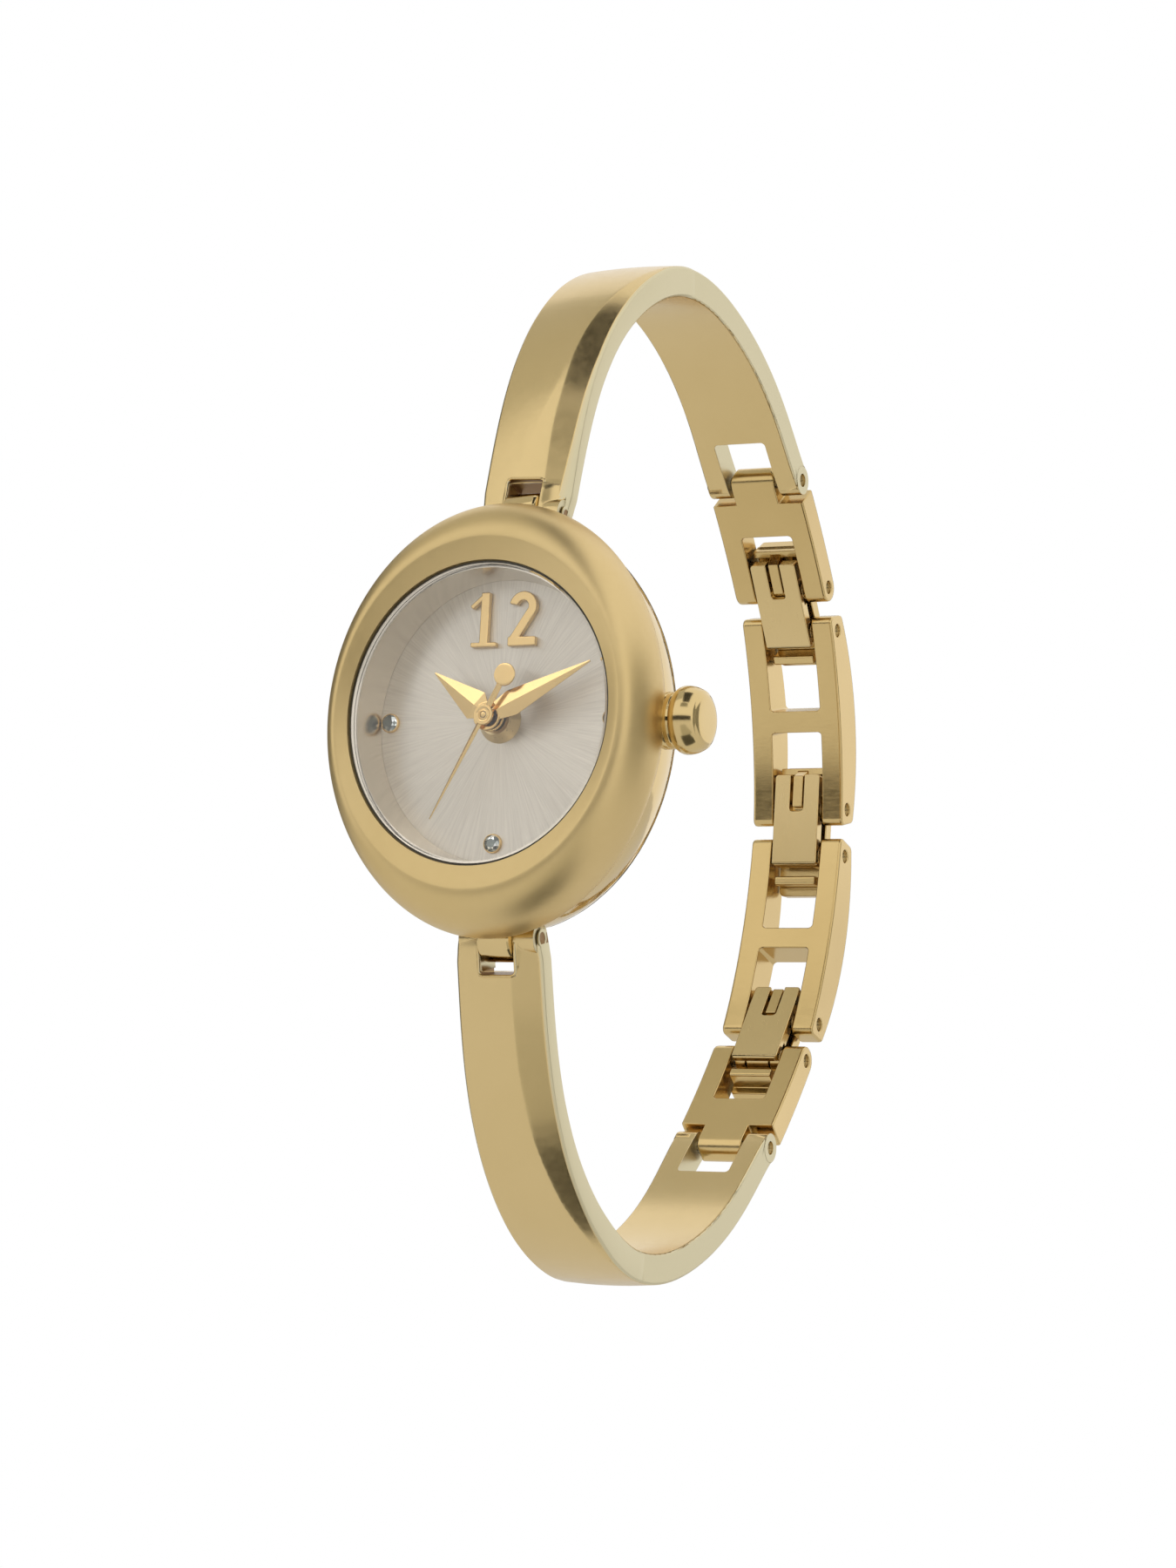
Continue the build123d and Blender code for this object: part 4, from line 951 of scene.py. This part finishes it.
def cut_middle(piece, form, start, end):
    """Take the middle of an arm's copy away between two ways along its line and close both cuts."""
    front = bmesh.new()
    front.from_mesh(piece.data)
    back = front.copy()
    for part, place, sign in ((front, start, 1), (back, end, -1)):
        k = np.searchsorted(form.run, place)
        (y, z), (way_y, way_z) = form.curve[k], form.way[k]
        cut = bmesh.ops.bisect_plane(
            part, geom=part.verts[:] + part.edges[:] + part.faces[:], dist=1e-8,
            plane_co=(0, y * MM, form.side * z * MM),
            plane_no=(0, sign * way_z, -sign * form.side * way_y), clear_outer=True,
        )
        edges = [e for e in cut["geom_cut"] if isinstance(e, bmesh.types.BMEdge)]
        bmesh.ops.holes_fill(part, edges=edges, sides=0)
        bmesh.ops.recalc_face_normals(part, faces=part.faces)
    other = bpy.data.meshes.new("cut end")
    back.to_mesh(other)
    front.from_mesh(other)
    front.to_mesh(piece.data)
    front.free()
    back.free()
    bpy.data.meshes.remove(other)


def round_corner(before, here, after, radius=0.05):
    """Swap corners for bends: a (1-t)^2 + 2 c t (1-t) + b t^2 between points a and b a radius from
    each corner c."""
    a, b = (
        here + radius * (s / np.maximum(np.hypot(s[..., :1], s[..., 1:]), 1e-9))
        for s in (before - here, after - here)
    )
    t = np.linspace(0, 1, 4)
    return np.stack([(1 - s) ** 2 * a + 2 * s * (1 - s) * here + s**2 * b for s in t], 1)


def ease(t):
    """Smooth step from 0 to 1: t t (3 - 2 t)."""
    t = np.clip(t, 0, 1)
    return t * t * (3 - 2 * t)


class ArmForm:
    """An arm's cross-section at every way along its line, in millimetres"""

    thickness, crowning, crease_width = 2.1, 0.12, 0.045
    narrow_bevel, inner_bevel = 0.17, 0.2
    lug_half, flare = 2.7, 0.88  # half width at the lug pin, and its growth to the chain pin
    start, end, overlap = -0.5, 30.5, 4.0
    swept_end, fade = 30.0, 9.0  # the swept form ends there and fades over that way before it
    skin, sink_way, sink = 0.006, 3.0, 0.16
    slot_top, slot_half = 2.3, 1.3
    # The carried-over arm's bevels and the drop of its outer edges, at tenths of the line.
    stations = np.linspace(0, 1, 11)
    cad_bevels = 0.45 * np.array((1, 1, 0.92, 0.65, 0.43, 0.33, 0.3, 0.3, 0.3, 0.3, 0.3))
    cad_drops = 2.1 * np.array((0.19, 0.19, 0.19, 0.14, 0.04, 0, 0, 0, 0, 0, 0))

    def __init__(self, upper):
        self.curve, self.way, self.run = arm_curve(upper)
        self.side = 1.0 if upper == "upper" else -1.0
        self.creases = ARM_CREASES[upper]
        self.right_bevel = RIGHT_BEVELS[upper]

    def at(self, along):
        """Sample of the line, share of the swept form, half width, left and right bevels and drop
        of the plain form at ways along the line."""
        k = np.clip(np.searchsorted(self.run, along), 0, len(self.run) - 1)
        station = self.run[-1] * self.stations
        share = ease((self.swept_end - along) / self.fade)
        plain = np.interp(along, station, self.cad_bevels) * (1 - share)
        drop = np.interp(along, station, self.cad_drops) * (1 - share)
        lug, chain = self.curve[LEAD, 0], self.curve[-1, 0]
        setback = np.clip((self.curve[k, 0] - lug) / (chain - lug), 0, 1)
        fuller = 0.08 + 0.17 * np.clip((along + 0.2) / 1.6, 0, 1)
        half = self.lug_half + self.flare * setback + fuller * share
        left = plain + self.narrow_bevel * share
        right = plain + np.interp(along, RIGHT_BEVEL_WAYS, self.right_bevel) * share
        return k, share, half, left, right, drop

    def level(self, x, along):
        """Height of the outer face over the line: a shallow crown less s w ln(1 + exp((x - c) / w))
        for each crease."""
        k, share, half, _, _, drop = self.at(along)
        out = x / half[:, None]
        tip = 1 - 0.20 * np.clip((0.6 - along) / 1.1, 0, 1)[:, None] ** 2
        crown = tip * (self.thickness / 2 + self.crowning * (1 - out**2))
        swept = np.zeros_like(x)
        for slope, heights, places in self.creases:
            crease = np.interp(self.curve[k, 1][:, None], heights, places)
            gap = (x - crease) / self.crease_width
            swept += slope * self.crease_width * np.logaddexp(0.0, gap)
        plain = drop[:, None] * np.clip((np.abs(out) - 0.6) / 0.25, 0, 1)
        return crown - share[:, None] * swept - plain

    def shell(self, along, low=None, high=None, count=40):
        """Closed shell over ways along the line, of the whole width or from one x to another; it
        sinks under the kept end's surface over its last way."""
        grow = self.skin - self.sink * ease((along - self.end + self.sink_way) / self.sink_way)
        k, _, half, left, right, _ = self.at(along)
        from_x = -half + left if low is None else np.full_like(half, low)
        to_x = half - right if high is None else np.full_like(half, high)
        x = from_x[:, None] + (to_x - from_x)[:, None] * np.linspace(0, 1, count)
        if low is None and high is None:
            for _, heights, places in self.creases:
                crease = np.interp(self.curve[k, 1], heights, places)
                crease = np.clip(crease, from_x + 0.3, to_x - 0.02)
                nearest = np.argmin(np.abs(x - crease[:, None]), 1)
                for shift in (-1, 0, 1):
                    column = np.clip(nearest + shift, 1, count - 2)
                    x[np.arange(len(x)), column] = crease + shift * 0.06
            x.sort(1)
        face = columns(x, self.level(x, along) + grow[:, None])
        foot = -np.sqrt(self.thickness**2 / 4 - np.minimum(along, 0) ** 2) - grow
        inner = self.inner_bevel
        a, b = face[:, -1], face[:, 0]
        edge = half + grow
        if high is None:
            chain = [columns(edge, a[:, 1] - right), columns(edge, foot + inner)]
            chain += [columns(edge - inner, foot)]
        else:
            chain = [columns(a[:, 0], foot)]
        if low is None:
            chain += [columns(inner - edge, foot), columns(-edge, foot + inner)]
            chain += [columns(-edge, b[:, 1] - left)]
        else:
            chain += [columns(b[:, 0], foot)]
        chain = [face[:, -2], a, *chain, b, face[:, 1]]
        bends = [round_corner(*three) for three in zip(chain, chain[1:], chain[2:])]
        ring = np.concatenate([face[:, 1:-1], *bends], 1)
        place = self.curve[k][:, None] + ring[..., 1:] * self.way[k][:, None]
        return ring_shell(columns(ring[..., 0], place[..., 0], self.side * place[..., 1]))

    def rim(self):
        """Rolled lip round the slot: a tube whose middle follows the slot's edge on the outer
        face."""
        bend, radius, depth, sides, straight = 0.35, 0.10, 0.02, 12, 12
        turn = np.linspace(0, np.pi / 2, 7)
        rise = np.linspace(-0.4, self.slot_top - bend, straight)
        left = columns(-self.slot_half, rise)
        corner = columns(
            -self.slot_half + bend * (1 - np.cos(turn)), self.slot_top - bend + bend * np.sin(turn)
        )
        half_path = np.concatenate([left, corner[1:]])
        path = np.concatenate([half_path, half_path[::-1] * (-1, 1)])
        k = np.searchsorted(self.run, path[:, 1])
        middle = self.curve[k] + (self.level(path[:, :1], path[:, 1]) - depth) * self.way[k]
        centre, way = columns(path[:, 0], *middle.T), columns(0, *self.way[k].T)
        tangent = np.gradient(centre, axis=0)
        tangent /= np.linalg.norm(tangent, axis=1, keepdims=True)
        across = np.cross(tangent, way)[:, None]
        angle = full_turn(sides)[None, :, None]
        tube = centre[:, None] + radius * (np.cos(angle) * across + np.sin(angle) * way[:, None])
        return ring_shell(tube * (1, 1, self.side))


# Profiles along the lug pin: its eye in the arm's side, and the knuckle between the prongs.
PIN_EYE = (
    (0, 0), (0, 0.62), (0.03, 0.62), (0.05, 0.58), (0.05, 0.44), (0.02, 0.40), (0.015, 0.36),
    (0.015, 0),
)
KNUCKLE = (
    (-1.18, 0), (-1.18, 1.35), (-1.13, 1.48), (-1.0, 1.55), (1.0, 1.55), (1.13, 1.48),
    (1.18, 1.35), (1.18, 0),
)
EYE_CENTRE = 0.38
SLOT_CEILING = 17.2


class WATCH_OT_arms(bpy.types.Operator):
    """Two arms with swept outer facets that run out from the slots to the edge"""

    bl_idname = "watch.arms"
    bl_label = "Arms"

    def execute(self, context):
        edge = context.scene.watch_shape.link_edge / MM
        for upper in ARM_CREASES:
            node = upper + "_arm"
            ends = rounded_copy(node, node + "_ends", 0.5 * edge, "polished_gold", "arm_gold")
            form = ArmForm(upper)
            cut_middle(ends, form, form.slot_top - 0.3, form.end - form.overlap)
            prongs = np.linspace(form.start, form.slot_top, 14)
            body = np.linspace(form.slot_top, 8.0, 40), np.linspace(8.0, form.end, 100)[1:]
            pin = pin_centre(upper + "_lug_pin")
            half = form.at(np.zeros(1))[2][0]
            verts, faces = join_shells(
                form.shell(prongs, high=-form.slot_half, count=12),
                form.shell(prongs, low=form.slot_half, count=12),
                form.shell(np.concatenate(body), count=56),
                form.rim(),
                turned_shell(PIN_EYE, pin + (half, 0, 0), (1, 0, 0), 32),
                turned_shell(PIN_EYE, pin - (half, 0, 0), (-1, 0, 0), 32),
            )
            mesh = mesh_piece(
                node + "_body", (verts, faces), frame["nodes"][node]["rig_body"], "arm_gold", 30.0,
            ).data
            # Second finish of painted shade: the slot walls and the pin eyes turn dark brown, for
            # the shade inside the slots and holes.
            mesh.materials.append(FINISHES["slot_painted_shade"])
            centre = np.array([verts[f].mean(0) for f in faces])
            normal = np.zeros(len(faces) * 3)
            mesh.polygons.foreach_get("normal", normal)
            normal = normal.reshape(-1, 3)
            # Mask of the painted shade: faces of the slot walls and ceiling, and the middle of each
            # pin eye.
            in_slot = np.abs(centre[:, 0]) < form.slot_half + 0.003
            in_slot &= centre[:, 2] * form.side < SLOT_CEILING
            in_slot &= (np.abs(normal[:, 0]) > 0.9) | (normal[:, 2] * form.side < -0.7)
            in_eye = np.hypot(*(centre[:, 1:] - pin[1:]).T) < EYE_CENTRE
            in_eye &= np.abs(centre[:, 0]) > half - 0.01
            mesh.polygons.foreach_set("material_index", (in_slot | in_eye).astype(int))
            knuckle = turned_shell(KNUCKLE, pin, (1, 0, 0), 48)
            mesh_piece(upper + "_lug_knuckle", knuckle, "case", "polished_gold", 30.0)
        return {"FINISHED"}


# ---------------- links


# Shares of the edge width in the settings, and the nodes whose edges are rolled by them.
ROLLED_NODES = (
    (1.0, ("case_middle", "case_back")),
    (1.0, ("upper_t_link", "lower_t_link", "upper_h_link", "lower_h_link")),
    (0.8, ("upper_connector", "middle_connector", "clasp_connector")),
    (0.8, ("upper_lever", "middle_lever", "clasp_lever")),
    (0.9, ("twelve_marker",)),
)


class WATCH_OT_links(bpy.types.Operator):
    """Links, connectors, levers, case and figures with rolled edges that catch the light"""

    bl_idname = "watch.links"
    bl_label = "Links"

    def execute(self, context):
        edge = context.scene.watch_shape.link_edge / MM
        slots = node_slots()
        for share, nodes in ROLLED_NODES:
            for node in nodes:
                rounded_copy(node, node + "_form", edge * share, slots[node])
        return {"FINISHED"}


# ---------------- add-on


OPERATORS = (
    WATCH_OT_stage, WATCH_OT_finishes, WATCH_OT_bezel, WATCH_OT_dial, WATCH_OT_hands,
    WATCH_OT_stones, WATCH_OT_crown, WATCH_OT_arms, WATCH_OT_links,
)
GROUPS = {
    "watch_finish": WatchFinishSettings,
    "watch_shape": WatchShapeSettings,
    "watch_stage": WatchStageSettings,
}


class WATCH_PT_panel(bpy.types.Panel):
    """Buttons for every group of pieces"""

    bl_idname = "WATCH_PT_panel"
    bl_label = "Bangle Watch"
    bl_space_type = "VIEW_3D"
    bl_region_type = "UI"
    bl_category = "Watch"

    def draw(self, context):
        for operator in OPERATORS:
            self.layout.operator(operator.bl_idname)
        for group in GROUPS:
            settings = getattr(context.scene, group)
            box = self.layout.box()
            for key in settings.__annotations__:
                box.prop(settings, key)


def register():
    """Register the settings, operators and panel."""
    for item in (*GROUPS.values(), *OPERATORS, WATCH_PT_panel):
        bpy.utils.register_class(item)
    for key, group in GROUPS.items():
        setattr(bpy.types.Scene, key, bpy.props.PointerProperty(type=group))


def unregister():
    """Take the settings, operators and panel out again."""
    for key in GROUPS:
        delattr(bpy.types.Scene, key)
    for item in reversed((*GROUPS.values(), *OPERATORS, WATCH_PT_panel)):
        bpy.utils.unregister_class(item)


def main():
    """Dress the watch."""
    register()
    bpy.ops.watch.stage()
    bpy.ops.watch.finishes()
    bpy.ops.watch.bezel()
    bpy.ops.watch.dial()
    bpy.ops.watch.hands()
    bpy.ops.watch.stones()
    bpy.ops.watch.crown()
    bpy.ops.watch.arms()
    bpy.ops.watch.links()


if __name__ == "__main__":
    main()
